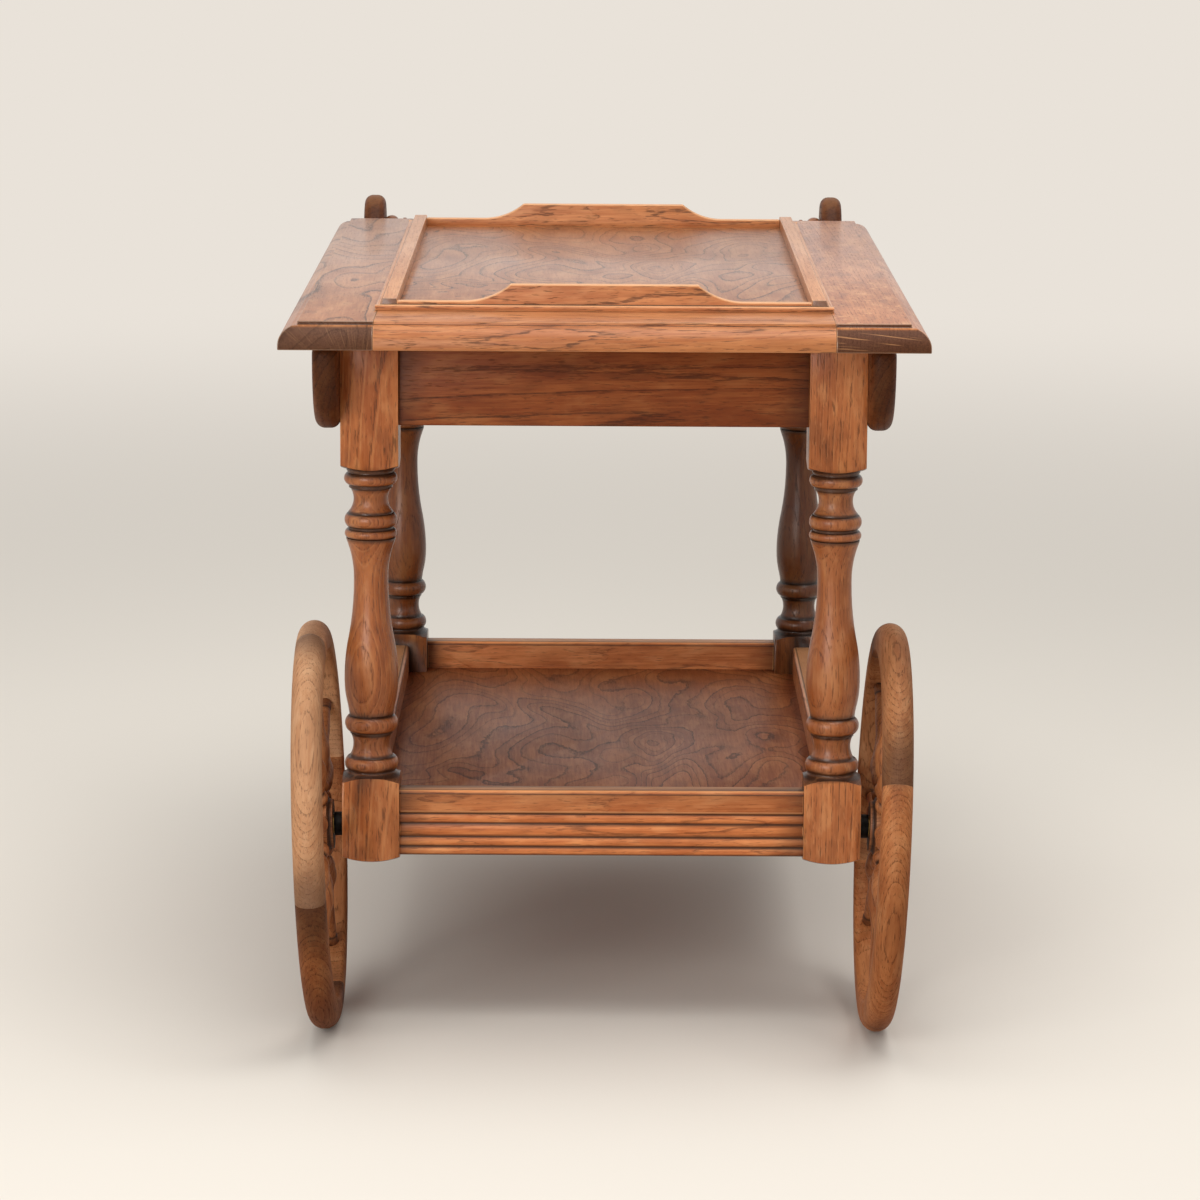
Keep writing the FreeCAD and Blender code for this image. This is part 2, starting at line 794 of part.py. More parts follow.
def leg(name, x, y, foot):
    """A square and turned leg with its mortises, screw holes and bores."""
    turning = turned(f"{name}_turned", leg_profile(foot))
    put(turning, leg_x * x, leg_y * y, zero)
    across = ordered(leg_inner_x * x, leg_outer_x * x)
    along = ordered(leg_inner_y * y, (leg_outer_y) * y)
    square = block(f"{name}_square", across, along, (zero, underside))
    cutters = leg_mortises(name, x, y)
    radius = s.arm_screw_radius + s.screw_spare
    for number, high in enumerate(arm_screw_heights):
        start = (leg_outer_x * x, arm_screw_y * y, high)
        turn = about("Y", 90 * -x)
        cutters.append(rod(f"{name}_hole_{number}", radius, s.arm_screw_bite + s.screw_spare, start, turn))
    if foot:
        peg = s.stem_radius + s.screw_spare
        start = (leg_x * x, leg_y * y, leg_foot_end)
        cutters.append(rod(f"{name}_peg_hole", peg, s.stem_peg_long + s.screw_spare, start))
    else:
        shaft = s.axle_radius + s.screw_spare
        collar = s.collar_radius + s.screw_spare
        corners = [
            (zero, -(axle_inner_end + s.screw_spare)),
            (shaft, -(axle_inner_end + s.screw_spare)),
            (shaft, -collar_seat),
            (collar, -collar_seat),
            (collar, zero),
            (zero, zero),
        ]
        bore = turned(f"{name}_bore", corners)
        put(bore, wheel_x * x, -wheel_y, wheel_z, wheel_turn(x))
        cutters.append(bore)
    publish(name, cut(name, common(f"{name}_blank", [turning, square]), cutters))


def apron_section(outer, inner):
    """Corners of an apron section with small rounds along the lower arrises."""
    return [
        (inner + s.apron_round, apron_low),
        (outer - s.apron_round, apron_low, s.apron_round, "out"),
        (outer, apron_low + s.apron_round),
        (outer, underside),
        (inner, underside),
        (inner, apron_low + s.apron_round, s.apron_round, "out"),
    ]


def end_apron(name, sign):
    """The front or back apron with a tenon at each end."""
    outer = leg_outer_y - s.apron_recess
    inner = outer - s.apron_thick
    corners = mirrored(apron_section(outer, inner), sign < 0)
    board = slab(f"{name}_board", "YZ_Plane", corners, -leg_inner_x, leg_inner_x)
    centre = (outer + inner) * 0.5 * sign
    half = s.tenon_thick / 2
    reach = leg_inner_x + s.tenon_long
    tenons = block(f"{name}_tenons", (-reach, reach), (centre - half, centre + half), apron_tenon_z)
    publish(name, joined(name, [board, tenons]))


def side_apron(name, sign):
    """The left or right apron with a tenon at each end."""
    outer = leg_outer_x - s.apron_recess
    inner = outer - s.apron_thick
    corners = mirrored(apron_section(outer, inner), sign < 0)
    board = slab(f"{name}_board", "XZ_Plane", corners, -leg_inner_y, leg_inner_y)
    centre = (outer + inner) * 0.5 * sign
    half = s.tenon_thick / 2
    reach = leg_inner_y + s.tenon_long
    tenons = block(f"{name}_tenons", (centre - half, centre + half), (-reach, reach), apron_tenon_z)
    publish(name, joined(name, [board, tenons]))


def corner_blocks():
    """Four blocks that fill the corners between the aprons and hold the top screws."""
    apron_y = leg_outer_y - s.apron_recess - s.apron_thick
    apron_x = leg_outer_x - s.apron_recess - s.apron_thick
    radius = s.top_screw_radius + s.screw_spare
    blocks = []
    for number, (x, y) in enumerate(corner_signs()):
        corners = [
            (leg_inner_x - s.corner_block_long, apron_y),
            (apron_x, leg_inner_y - s.corner_block_long),
            (apron_x, leg_inner_y),
            (leg_inner_x, leg_inner_y),
            (leg_inner_x, apron_y),
        ]
        corners = mirrored(corners, x < 0)
        if y < 0:
            corners = [(corner[0], -corner[1]) for corner in reversed(corners)]
        low = underside - s.corner_block_high
        solid = slab(f"corner_block_{number}", "XY_Plane", corners, low, underside)
        hole = rod(f"corner_hole_{number}", radius, s.corner_block_high, (screw_x * x, screw_y * y, low))
        blocks.append(cut(f"corner_piece_{number}", solid, [hole]))
    publish("corner_blocks", grouped("corner_blocks", blocks))


def screw(name, radius, long, head_radius, head_high, place, turn=FreeCAD.Rotation()):
    """A screw with its head below the origin and its shank along the turned Z axis."""
    corners = [
        (zero, -head_high),
        (head_radius, -head_high),
        (head_radius, zero),
        (radius, zero),
        (radius, long - radius),
        (zero, long),
    ]
    return put(turned(name, corners), place[0], place[1], place[2], turn)


def top_screws():
    """Four screws up through the corner blocks."""
    low = underside - s.corner_block_high
    long = s.corner_block_high + s.top_screw_bite
    screws = []
    for number, (x, y) in enumerate(corner_signs()):
        place = (screw_x * x, screw_y * y, low)
        screws.append(screw(f"top_screw_{number}", s.top_screw_radius, long,
                            s.top_screw_head_radius, s.top_screw_head_high, place))
    publish("top_screws", grouped("top_screws", screws))


def arm_outline():
    """The side view of a handle arm, every curve meeting the next one smoothly."""
    eye = s.handle_eye_radius
    rise = s.arm_rise_radius
    front = top_y - s.arm_front_margin
    front_foot = front - s.arm_nose_long
    top_end = top_y + s.arm_top_past
    turn_y = leg_outer_y + rise * sine(s.arm_rise_angle)
    turn_z = arm_low + rise - rise * cosine(s.arm_rise_angle)
    gap_y = turn_y - handle_y
    gap_z = turn_z - handle_z
    lean = gap_y * sine(s.arm_rise_angle) - gap_z * cosine(s.arm_rise_angle)
    hollow = (gap_y * gap_y + gap_z * gap_z - eye * eye) / (eye * 2 - lean * 2)
    hollow_y = gap_y + hollow * sine(s.arm_rise_angle)
    hollow_z = gap_z - hollow * cosine(s.arm_rise_angle)
    under = eye / (hollow + eye)
    reach = top_end - handle_y
    drop = handle_z - underside
    throat = (reach * reach + drop * drop - eye * eye) / ((eye + drop) * 2)
    over = eye / (throat + eye)
    nose = (s.arm_nose_long * s.arm_nose_long + s.arm_deep * s.arm_deep) / (s.arm_deep * 2)
    corner = s.arm_corner_radius
    within = nose - corner
    lift = s.arm_deep - corner - nose
    back = root(within * within - lift * lift)
    corner_y = -front_foot - back
    over_corner = nose / within
    return [
        (-front_foot, arm_low),
        (leg_outer_y, arm_low, rise, "out"),
        (turn_y, turn_z, hollow, "in"),
        (handle_y + hollow_y * under, handle_z + hollow_z * under, eye, "out"),
        (handle_y + eye, handle_z, eye, "out"),
        (handle_y, handle_z + eye, eye, "out"),
        (handle_y + reach * over, handle_z + (throat - drop) * over, throat, "in"),
        (top_end, underside),
        (corner_y, underside, corner, "out"),
        (-front_foot - back * over_corner, arm_low + nose + lift * over_corner, nose, "out"),
    ]


def round_arm(body):
    """Round the long edges of an arm."""
    pad = body.Tip
    names = []
    for number, edge in enumerate(pad.Shape.Edges, 1):
        if edge.BoundBox.XLength < s.arm_round.value:
            names.append(f"Edge{number}")
    fillet = body.newObject("PartDesign::Fillet", f"{body.Name}_rounding")
    fillet.Base = (pad, names)
    bind(fillet, "Radius", s.arm_round)


def handle_arm(name, sign):
    """A shaped arm outside the legs, counterbored for the screws, bored for the bar."""
    inner = leg_outer_x * sign
    outer = (leg_outer_x + s.arm_thick) * sign
    span = ordered(inner, outer)
    body = slab(f"{name}_board", "YZ_Plane", arm_outline(), span[0], span[1])
    document.recompute()
    round_arm(body)
    turn = about("Y", 90 * sign)
    seat = s.arm_thick - s.pellet_long - s.arm_screw_head_high
    cutters = []
    number = 0
    for x, y, high in arm_screw_places():
        if x != sign:
            continue
        shank = s.arm_screw_radius + s.screw_spare
        cutters.append(rod(f"{name}_hole_{number}", shank, s.arm_thick, (inner, y, high), turn))
        place = (inner + seat * sign, y, high)
        bore = s.pellet_radius + s.screw_spare
        cutters.append(rod(f"{name}_counterbore_{number}", bore, s.arm_thick, place, turn))
        number += 1
    eye = s.handle_tenon_radius + s.screw_spare
    deep = s.handle_tenon_long + s.handle_hole_spare
    cutters.append(rod(f"{name}_eye", eye, deep, (inner, handle_y, handle_z), turn))
    result = document.addObject("Part::Cut", name)
    result.Base = body
    result.Tool = joined(f"{name}_cutters", cutters)
    publish(name, result)


def arm_screws():
    """Eight screws through the arms into the legs, heads inwards under the pellets."""
    seat = s.arm_thick - s.pellet_long - s.arm_screw_head_high
    screws = []
    for number, (x, y, high) in enumerate(arm_screw_places()):
        place = ((leg_outer_x + seat) * x, y, high)
        screws.append(screw(f"arm_screw_{number}", s.arm_screw_radius, seat + s.arm_screw_bite,
                            s.arm_screw_head_radius, s.arm_screw_head_high, place, about("Y", 90 * -x)))
    publish("arm_screws", grouped("arm_screws", screws))


def arm_pellets():
    """Eight slightly domed wooden pellets over the screw heads."""
    dome = s.pellet_dome
    reach = (s.pellet_radius * s.pellet_radius + dome * dome) / (dome * 2)
    pellets = []
    for number, (x, y, high) in enumerate(arm_screw_places()):
        corners = [
            (zero, zero),
            (s.pellet_radius, zero),
            (s.pellet_radius, s.pellet_long, reach, "out"),
            (zero, s.pellet_long + dome),
        ]
        pellet = turned(f"arm_pellet_{number}", corners)
        start = (leg_outer_x + s.arm_thick - s.pellet_long) * x
        pellets.append(put(pellet, start, y, high, about("Y", 90 * x)))
    publish("arm_pellets", grouped("arm_pellets", pellets))


def handle_bar():
    """The turned bar between the arms, drawn as half a profile and its mirror."""
    half = leg_outer_x
    reach = half + s.handle_tenon_long
    upper = scaled(BAR_SHARES, s.handle_bead_radius, half, zero)
    lower = []
    for index in range(len(upper) - 1, -1, -1):
        arc = tuple(upper[index - 1][2:]) if index else ()
        lower.append((upper[index][0], -upper[index][1]) + arc)
    swell = s.handle_swell_radius
    corners = [
        (zero, -reach),
        (s.handle_tenon_radius, -reach),
        (s.handle_tenon_radius, -half),
    ]
    corners += lower[:-1]
    corners.append((lower[-1][0], lower[-1][1], swell, "out"))
    corners += upper
    corners += [
        (s.handle_tenon_radius, half),
        (s.handle_tenon_radius, reach),
        (zero, reach),
    ]
    publish("handle_bar", turned("handle_bar", corners), zero, handle_y, handle_z, about("Y", 90))


def reeded_section(outer, inner):
    """Corners of a shelf rail section with reeds on its outer face."""
    low = shelf_rail_low
    high = shelf_rail_high
    round_off = s.shelf_rail_round
    groove = outer - s.reed_deep
    heights = [zero, s.reed_one, s.reed_two, s.reed_three, s.reed_four]
    rises = [s.reed_first_rise, s.reed_deep, s.reed_deep, s.reed_deep]
    reeds = []
    for below, above, rise in zip(heights, heights[1:], rises):
        reeds.append((groove, low + below, bow(zero, above - below, rise), "out"))
    return [
        (inner, low),
        *reeds,
        (groove, low + s.reed_four),
        (outer, low + s.reed_four + s.reed_deep),
        (outer, high - round_off, round_off, "out"),
        (outer - round_off, high),
        (inner + round_off, high, round_off, "out"),
        (inner, high - round_off),
    ]


def batten_places():
    """Sign pairs and positions of the batten screws: axis, sign, place along the rail."""
    places = []
    for sign in (-1, 1):
        for step in (-1, 0, 1):
            places.append(("X", sign, s.shelf_screw_side_pitch * step))
        for step in (-1, 1):
            places.append(("Y", sign, s.shelf_screw_front_pitch * 0.5 * step))
    return places


batten_x = shelf_rail_x - s.shelf_rail_thick
batten_y = shelf_rail_y - s.shelf_rail_thick
batten_high = shelf_surface - s.shelf_thick
batten_z = batten_high - s.batten_square / 2


def batten_point(axis, sign, along):
    """Where a batten screw enters the rail, and the turn that points it outwards."""
    if axis == "X":
        return (batten_x * sign, along, batten_z), about("Y", 90 * sign)
    return (along, batten_y * sign, batten_z), about("X", -90 * sign)


def rail_holes(name, axis, sign):
    """Pilot holes in one shelf rail."""
    holes = []
    for number, place in enumerate(batten_places()):
        if place[0] == axis and place[1] == sign:
            start, turn = batten_point(*place)
            deep = s.shelf_screw_bite + s.screw_spare
            radius = s.shelf_screw_radius + s.screw_spare
            holes.append(rod(f"{name}_hole_{number}", radius, deep, start, turn))
    return holes


def end_shelf_rail(name, sign):
    """The front or back rail of the tray shelf."""
    corners = mirrored(reeded_section(shelf_rail_y, batten_y), sign < 0)
    bar = slab(f"{name}_bar", "YZ_Plane", corners, -leg_inner_x, leg_inner_x)
    centre = (shelf_rail_y - s.shelf_rail_thick / 2) * sign
    half = s.tenon_thick / 2
    reach = leg_inner_x + s.tenon_long
    tenons = block(f"{name}_tenons", (-reach, reach), (centre - half, centre + half), shelf_tenon_z)
    whole = joined(f"{name}_whole", [bar, tenons])
    publish(name, cut(name, whole, rail_holes(name, "Y", sign)))


def side_shelf_rail(name, sign):
    """The left or right rail of the tray shelf."""
    corners = mirrored(reeded_section(shelf_rail_x, batten_x), sign < 0)
    bar = slab(f"{name}_bar", "XZ_Plane", corners, -leg_inner_y, leg_inner_y)
    centre = (shelf_rail_x - s.shelf_rail_thick / 2) * sign
    half = s.tenon_thick / 2
    reach = leg_inner_y + s.shelf_side_tenon_long
    tenons = block(f"{name}_tenons", (centre - half, centre + half), (-reach, reach), shelf_tenon_z)
    whole = joined(f"{name}_whole", [bar, tenons])
    publish(name, cut(name, whole, rail_holes(name, "X", sign)))


def shelf_panel():
    """The tray panel, notched round the four legs."""
    notch_x = leg_inner_x
    notch_y = leg_inner_y
    corners = [
        (-notch_x, -batten_y),
        (notch_x, -batten_y),
        (notch_x, -notch_y),
        (batten_x, -notch_y),
        (batten_x, notch_y),
        (notch_x, notch_y),
        (notch_x, batten_y),
        (-notch_x, batten_y),
        (-notch_x, notch_y),
        (-batten_x, notch_y),
        (-batten_x, -notch_y),
        (-notch_x, -notch_y),
    ]
    publish("shelf_panel", slab("shelf_panel", "XY_Plane", corners, batten_high, shelf_surface))


def shelf_battens():
    """Four square battens under the panel, drilled for the screws."""
    side = s.batten_square
    high = (batten_high - side, batten_high)
    battens = []
    for sign in (-1, 1):
        across = ordered(batten_x * sign, (batten_x - side) * sign)
        battens.append(block(f"batten_x_{sign + 1}", across, (-leg_inner_y, leg_inner_y), high))
        along = ordered(batten_y * sign, (batten_y - side) * sign)
        battens.append(block(f"batten_y_{sign + 1}", (-leg_inner_x, leg_inner_x), along, high))
    holes = []
    for number, (axis, sign, along) in enumerate(batten_places()):
        start, turn = batten_point(axis, sign, along)
        back = start[:]
        if axis == "X":
            back = (start[0] - side * sign, start[1], start[2])
        else:
            back = (start[0], start[1] - side * sign, start[2])
        holes.append(rod(f"batten_hole_{number}", s.shelf_screw_radius + s.screw_spare, side, back, turn))
    publish("shelf_battens", cut("shelf_battens", grouped("batten_set", battens), holes))


def shelf_screws():
    """Ten screws through the battens into the shelf rails."""
    side = s.batten_square
    long = side + s.shelf_screw_bite
    screws = []
    for number, (axis, sign, along) in enumerate(batten_places()):
        start, turn = batten_point(axis, sign, along)
        if axis == "X":
            place = (start[0] - side * sign, start[1], start[2])
        else:
            place = (start[0], start[1] - side * sign, start[2])
        screws.append(screw(f"shelf_screw_{number}", s.shelf_screw_radius, long,
                            s.shelf_screw_head_radius, s.shelf_screw_head_high, place, turn))
    publish("shelf_screws", grouped("shelf_screws", screws))


def spoke_hole(name, start, long, degrees, spare):
    """A radial cutter or tenon lying in the wheel's own plane."""
    direction = FreeCAD.Vector(math.cos(math.radians(degrees)), math.sin(math.radians(degrees)), 0)
    turn = about("Z", degrees).multiply(about("Y", 90))
    place = (start * direction.x, start * direction.y, zero)
    return rod(name, s.spoke_tenon_radius + spare, long, place, turn)


def felloe(side, number, sign, spin):
    """One quarter of a rim with two sockets for spoke tenons."""
    name = f"felloe_{side}_{number}"
    outer = s.wheel_radius
    inner = rim_inner
    half = s.rim_wide / 2
    corner = s.rim_round
    corners = [
        (inner + corner, -half),
        (outer - half, -half, half, "out"),
        (outer, zero, half, "out"),
        (outer - half, half),
        (inner + corner, half, corner, "out"),
        (inner, half - corner),
        (inner, corner - half, corner, "out"),
    ]
    ring = turned(f"{name}_ring", corners, 90)
    sockets = []
    start = inner - s.spoke_hole_deeper
    deep = s.spoke_rim_tenon_long + s.spoke_hole_deeper * 2
    for number_here, share in enumerate((0.25, 0.75)):
        socket = f"{name}_socket_{number_here}"
        sockets.append(spoke_hole(socket, start, deep, 90 * share, s.spoke_hole_spare))
    turn = wheel_turn(sign, spin + 90 * (number - 1))
    publish(name, cut(name, ring, sockets), wheel_x * sign, -wheel_y, wheel_z, turn)


def spoke(name, degrees):
    """One turned spoke with a round tenon at each end."""
    start = s.hub_radius - s.spoke_hub_tenon_long
    shoulder = rim_inner - s.spoke_rim_gap
    corners = [
        (zero, start),
        (s.spoke_tenon_radius, start),
        (s.spoke_tenon_radius, s.hub_radius),
    ]
    corners += scaled(SPOKE_SHARES, s.spoke_max_radius, shoulder - s.hub_radius, s.hub_radius)
    end = shoulder + s.spoke_rim_tenon_long
    corners += [
        (s.spoke_tenon_radius, shoulder),
        (s.spoke_tenon_radius, end),
        (zero, end),
    ]
    turn = about("Z", degrees).multiply(about("Y", 90))
    return put(turned(name, corners), zero, zero, zero, turn)


def spokes(side, sign, spin):
    """The eight spokes of a wheel, two to each rim piece."""
    pieces = [spoke(f"spoke_{side}_{number}", 45 * (number + 0.5)) for number in range(8)]
    name = f"spokes_{side}"
    publish(name, grouped(name, pieces), wheel_x * sign, -wheel_y, wheel_z, wheel_turn(sign, spin))


def hub(side, sign, spin):
    """The turned hub, bored for its bush and mortised for the spokes."""
    name = f"hub_{side}"
    bore = s.bush_radius + s.running_spare
    corners = [
        (bore, -s.hub_inner_end),
        (s.hub_inner_radius, -s.hub_inner_end),
        (s.hub_inner_radius, s.hub_inner_flange - s.hub_inner_end),
        (s.hub_radius, -s.hub_band_half),
        (s.hub_radius, s.hub_band_half, s.hub_cove_radius, "in"),
        (s.hub_outer_radius, s.hub_outer_end - s.hub_outer_lip),
        (s.hub_outer_radius, s.hub_outer_end),
        (s.hub_cavity_radius, s.hub_outer_end),
        (s.hub_cavity_radius, hub_cavity_floor),
        (bore, hub_cavity_floor),
    ]
    blank = turned(f"{name}_blank", corners)
    sockets = []
    start = s.hub_radius - s.spoke_hub_tenon_long - s.spoke_hole_spare
    long = s.spoke_hub_tenon_long + s.spoke_hole_spare + s.spoke_hole_deeper
    for number in range(8):
        socket = f"{name}_socket_{number}"
        sockets.append(spoke_hole(socket, start, long, 45 * (number + 0.5), s.spoke_hole_spare))
    turn = wheel_turn(sign, spin)
    result = document.addObject("Part::Cut", name)
    result.Base = blank
    result.Tool = joined(f"{name}_cutters", sockets)
    publish(name, result, wheel_x * sign, -wheel_y, wheel_z, turn)


def ring(name, inner, outer, low, high):
    """A plain turned ring."""
    return turned(name, [(inner, low), (outer, low), (outer, high), (inner, high)])


def bush(side, sign):
    """The metal sleeve that runs on the stub axle."""
    name = f"bush_{side}"
    bore = s.axle_radius + s.running_spare
    body = ring(name, bore, s.bush_radius, -bush_inner_end, bush_outer_end)
    publish(name, body, wheel_x * sign, -wheel_y, wheel_z, wheel_turn(sign))


def axle(side, sign):
    """A stub axle with a collar let into the leg."""
    name = f"axle_{side}"
    collar_end = bush_inner_end + s.collar_gap
    corners = [
        (zero, -axle_inner_end),
        (s.axle_radius, -axle_inner_end),
        (s.axle_radius, -collar_seat),
        (s.collar_radius, -collar_seat),
        (s.collar_radius, -collar_end),
        (s.axle_radius, -collar_end),
        (s.axle_radius, axle_outer_end),
        (zero, axle_outer_end),
    ]
    publish(name, turned(name, corners), wheel_x * sign, -wheel_y, wheel_z, wheel_turn(sign))


def washers_and_nuts():
    """One washer and one hexagon nut on each stub axle."""
    bore = s.axle_radius + s.running_spare
    across = s.nut_flats / root(Length.of(3))
    washers = []
    nuts = []
    for sign in (-1, 1):
        washer = ring(f"washer_{sign + 1}", bore, s.washer_radius, washer_start, nut_start)
        put(washer, wheel_x * sign, -wheel_y, wheel_z, wheel_turn(sign))
        washers.append(washer)
        corners = []
        for step in range(6):
            angle = math.radians(60 * step)
            corners.append((across * math.cos(angle), across * math.sin(angle)))
        hexagon = slab(f"nut_blank_{sign + 1}", "XY_Plane", corners, nut_start, nut_start + s.nut_thick)
        hole = rod(f"nut_bore_{sign + 1}", bore, s.nut_thick, (zero, zero, nut_start))
        nut = cut(f"nut_{sign + 1}", hexagon, [hole])
        put(nut, wheel_x * sign, -wheel_y, wheel_z, wheel_turn(sign))
        nuts.append(nut)
    publish("axle_washers", grouped("axle_washers", washers))
    publish("axle_nuts", grouped("axle_nuts", nuts))


def hub_cap(side, sign):
    """A domed cap with a spigot that plugs the hub."""
    name = f"hub_cap_{side}"
    face = s.hub_outer_end
    spigot = s.hub_cavity_radius - s.running_spare
    wall = spigot - s.cap_spigot_wall
    rim = face + s.cap_rim_thick
    high = s.cap_dome_high
    dome = (s.cap_radius * s.cap_radius + high * high) / (high * 2)
    corners = [
        (wall, face - s.cap_spigot_long),
        (spigot, face - s.cap_spigot_long),
        (spigot, face),
        (s.cap_radius, face),
        (s.cap_radius, rim, dome, "out"),
        (zero, rim + high),
        (zero, rim + s.cap_cavity_deep),
        (s.cap_cavity_radius, rim + s.cap_cavity_deep),
        (wall, rim),
    ]
    publish(name, turned(name, corners), wheel_x * sign, -wheel_y, wheel_z, wheel_turn(sign))


def wheel(side, sign, spin):
    """All the pieces of one wheel."""
    for number in range(1, 5):
        felloe(side, number, sign, spin)
    spokes(side, sign, spin)
    hub(side, sign, spin)
    bush(side, sign)
    axle(side, sign)
    hub_cap(side, sign)


def castor_stem(side, sign):
    """The castor's peg, flange and riveted lower end."""
    name = f"castor_stem_{side}"
    head_high = fork_low - s.swivel_gap
    head_low = head_high - s.stem_head_long
    corners = [
        (zero, head_low),
        (s.stem_head_radius, head_low),
        (s.stem_head_radius, head_high),
        (s.stem_radius, head_high),
        (s.stem_radius, flange_low),
        (s.stem_flange_radius, flange_low),
        (s.stem_flange_radius, leg_foot_end),
        (s.stem_radius, leg_foot_end),
        (s.stem_radius, peg_end),
        (zero, peg_end),
    ]
    publish(name, turned(name, corners), leg_x * sign, leg_y, zero)


def castor_fork(side, sign):
    """The swivel fork, cut from one side view."""
    name = f"castor_fork_{side}"
    half = s.fork_plate_half
    eye = s.fork_eye_radius
    trail = s.castor_trail
    axle_z = s.castor_wheel_radius
    corners = [
        (trail, axle_z - eye, eye, "out"),
        (trail + eye, axle_z),
        (half, fork_low),
        (half, fork_high),
        (-half, fork_high),
        (-half, fork_low, s.fork_corner_radius, "in"),
        (trail - eye, axle_z, eye, "out"),
    ]
    outer = fork_inner_half + s.fork_cheek_thick
    blank = slab(f"{name}_blank", "YZ_Plane", corners, -outer, outer)
    inner = fork_inner_half
    reach = trail + axle_z
    slot = block(f"{name}_slot", (-inner, inner), (-reach, reach), (zero, fork_low))
    pivot_low = fork_low - s.fork_cheek_thick
    pivot_long = fork_high - pivot_low + s.fork_cheek_thick
    pivot = rod(f"{name}_pivot", s.stem_radius + s.running_spare, pivot_long, (zero, zero, pivot_low))
    radius = s.castor_axle_radius + s.castor_bore_spare
    pin = rod(f"{name}_pin", radius, outer * 2, (-outer, trail, axle_z), about("Y", 90))
    slotted = cut(f"{name}_slotted", blank, [slot])
    drilled = cut(f"{name}_drilled", slotted, [pivot])
    publish(name, cut(name, drilled, [pin]), leg_x * sign, leg_y, zero)


def castor_wheel(side, sign):
    """The castor's solid wheel with a boss on each side."""
    name = f"castor_wheel_{side}"
    half = s.castor_wheel_half
    boss = castor_boss_half
    bore = s.castor_axle_radius + s.castor_bore_spare
    corner = s.castor_wheel_round
    outer = s.castor_wheel_radius
    corners = [
        (bore, -boss),
        (s.castor_boss_radius, -boss),
        (s.castor_boss_radius, -half),
        (outer - corner, -half, corner, "out"),
        (outer, corner - half),
        (outer, half - corner, corner, "out"),
        (outer - corner, half),
        (s.castor_boss_radius, half),
        (s.castor_boss_radius, boss),
        (bore, boss),
    ]
    y = leg_y + s.castor_trail
    publish(name, turned(name, corners), leg_x * sign, y, s.castor_wheel_radius, about("Y", 90))


def castor_axle(side, sign):
    """The riveted pin through the fork."""
    name = f"castor_axle_{side}"
    outer = fork_inner_half + s.fork_cheek_thick
    end = outer + s.castor_axle_head_long
    corners = [
        (zero, -end),
        (s.castor_axle_head_radius, -end),
        (s.castor_axle_head_radius, -outer),
        (s.castor_axle_radius, -outer),
        (s.castor_axle_radius, outer),
        (s.castor_axle_head_radius, outer),
        (s.castor_axle_head_radius, end),
        (zero, end),
    ]
    y = leg_y + s.castor_trail
    publish(name, turned(name, corners), leg_x * sign, y, s.castor_wheel_radius, about("Y", 90))


def build():
    """Model every piece."""
    for side, sign in (("left", -1), ("right", 1)):
        side_board(f"top_{side}_board", sign)
        gallery_strip(f"gallery_{side}_strip", sign)
        side_apron(f"apron_{side}", sign)
        side_shelf_rail(f"shelf_rail_{side}", sign)
        handle_arm(f"handle_arm_{side}", sign)
        leg(f"leg_front_{side}", sign, -1, False)
        leg(f"leg_back_{side}", sign, 1, True)
        castor_stem(side, sign)
        castor_fork(side, sign)
        castor_wheel(side, sign)
        castor_axle(side, sign)
    for end, sign in (("front", -1), ("back", 1)):
        end_rail(f"top_{end}_rail", sign)
        end_apron(f"apron_{end}", sign)
        end_shelf_rail(f"shelf_rail_{end}", sign)
    gallery_crest("gallery_front", -1)
    gallery_crest("gallery_back", 1)
    top_panel()
    corner_blocks()
    top_screws()
    arm_screws()
    arm_pellets()
    handle_bar()
    shelf_panel()
    shelf_battens()
    shelf_screws()
    wheel("left", -1, s.left_wheel_angle.value)
    wheel("right", 1, s.right_wheel_angle.value)
    washers_and_nuts()


build()
document.recompute()

for thing in document.Objects:
    if "Invalid" in thing.State or "Error" in thing.State:
        raise RuntimeError(f"{thing.Name} did not recompute")
for name, thing in NODES.items():
    shape = thing.Shape
    if shape.isNull() or not shape.isValid():
        raise RuntimeError(f"{name} has no valid shape")
    shape.exportStep(f"parts/{name}.step")

print(len(NODES), "nodes")
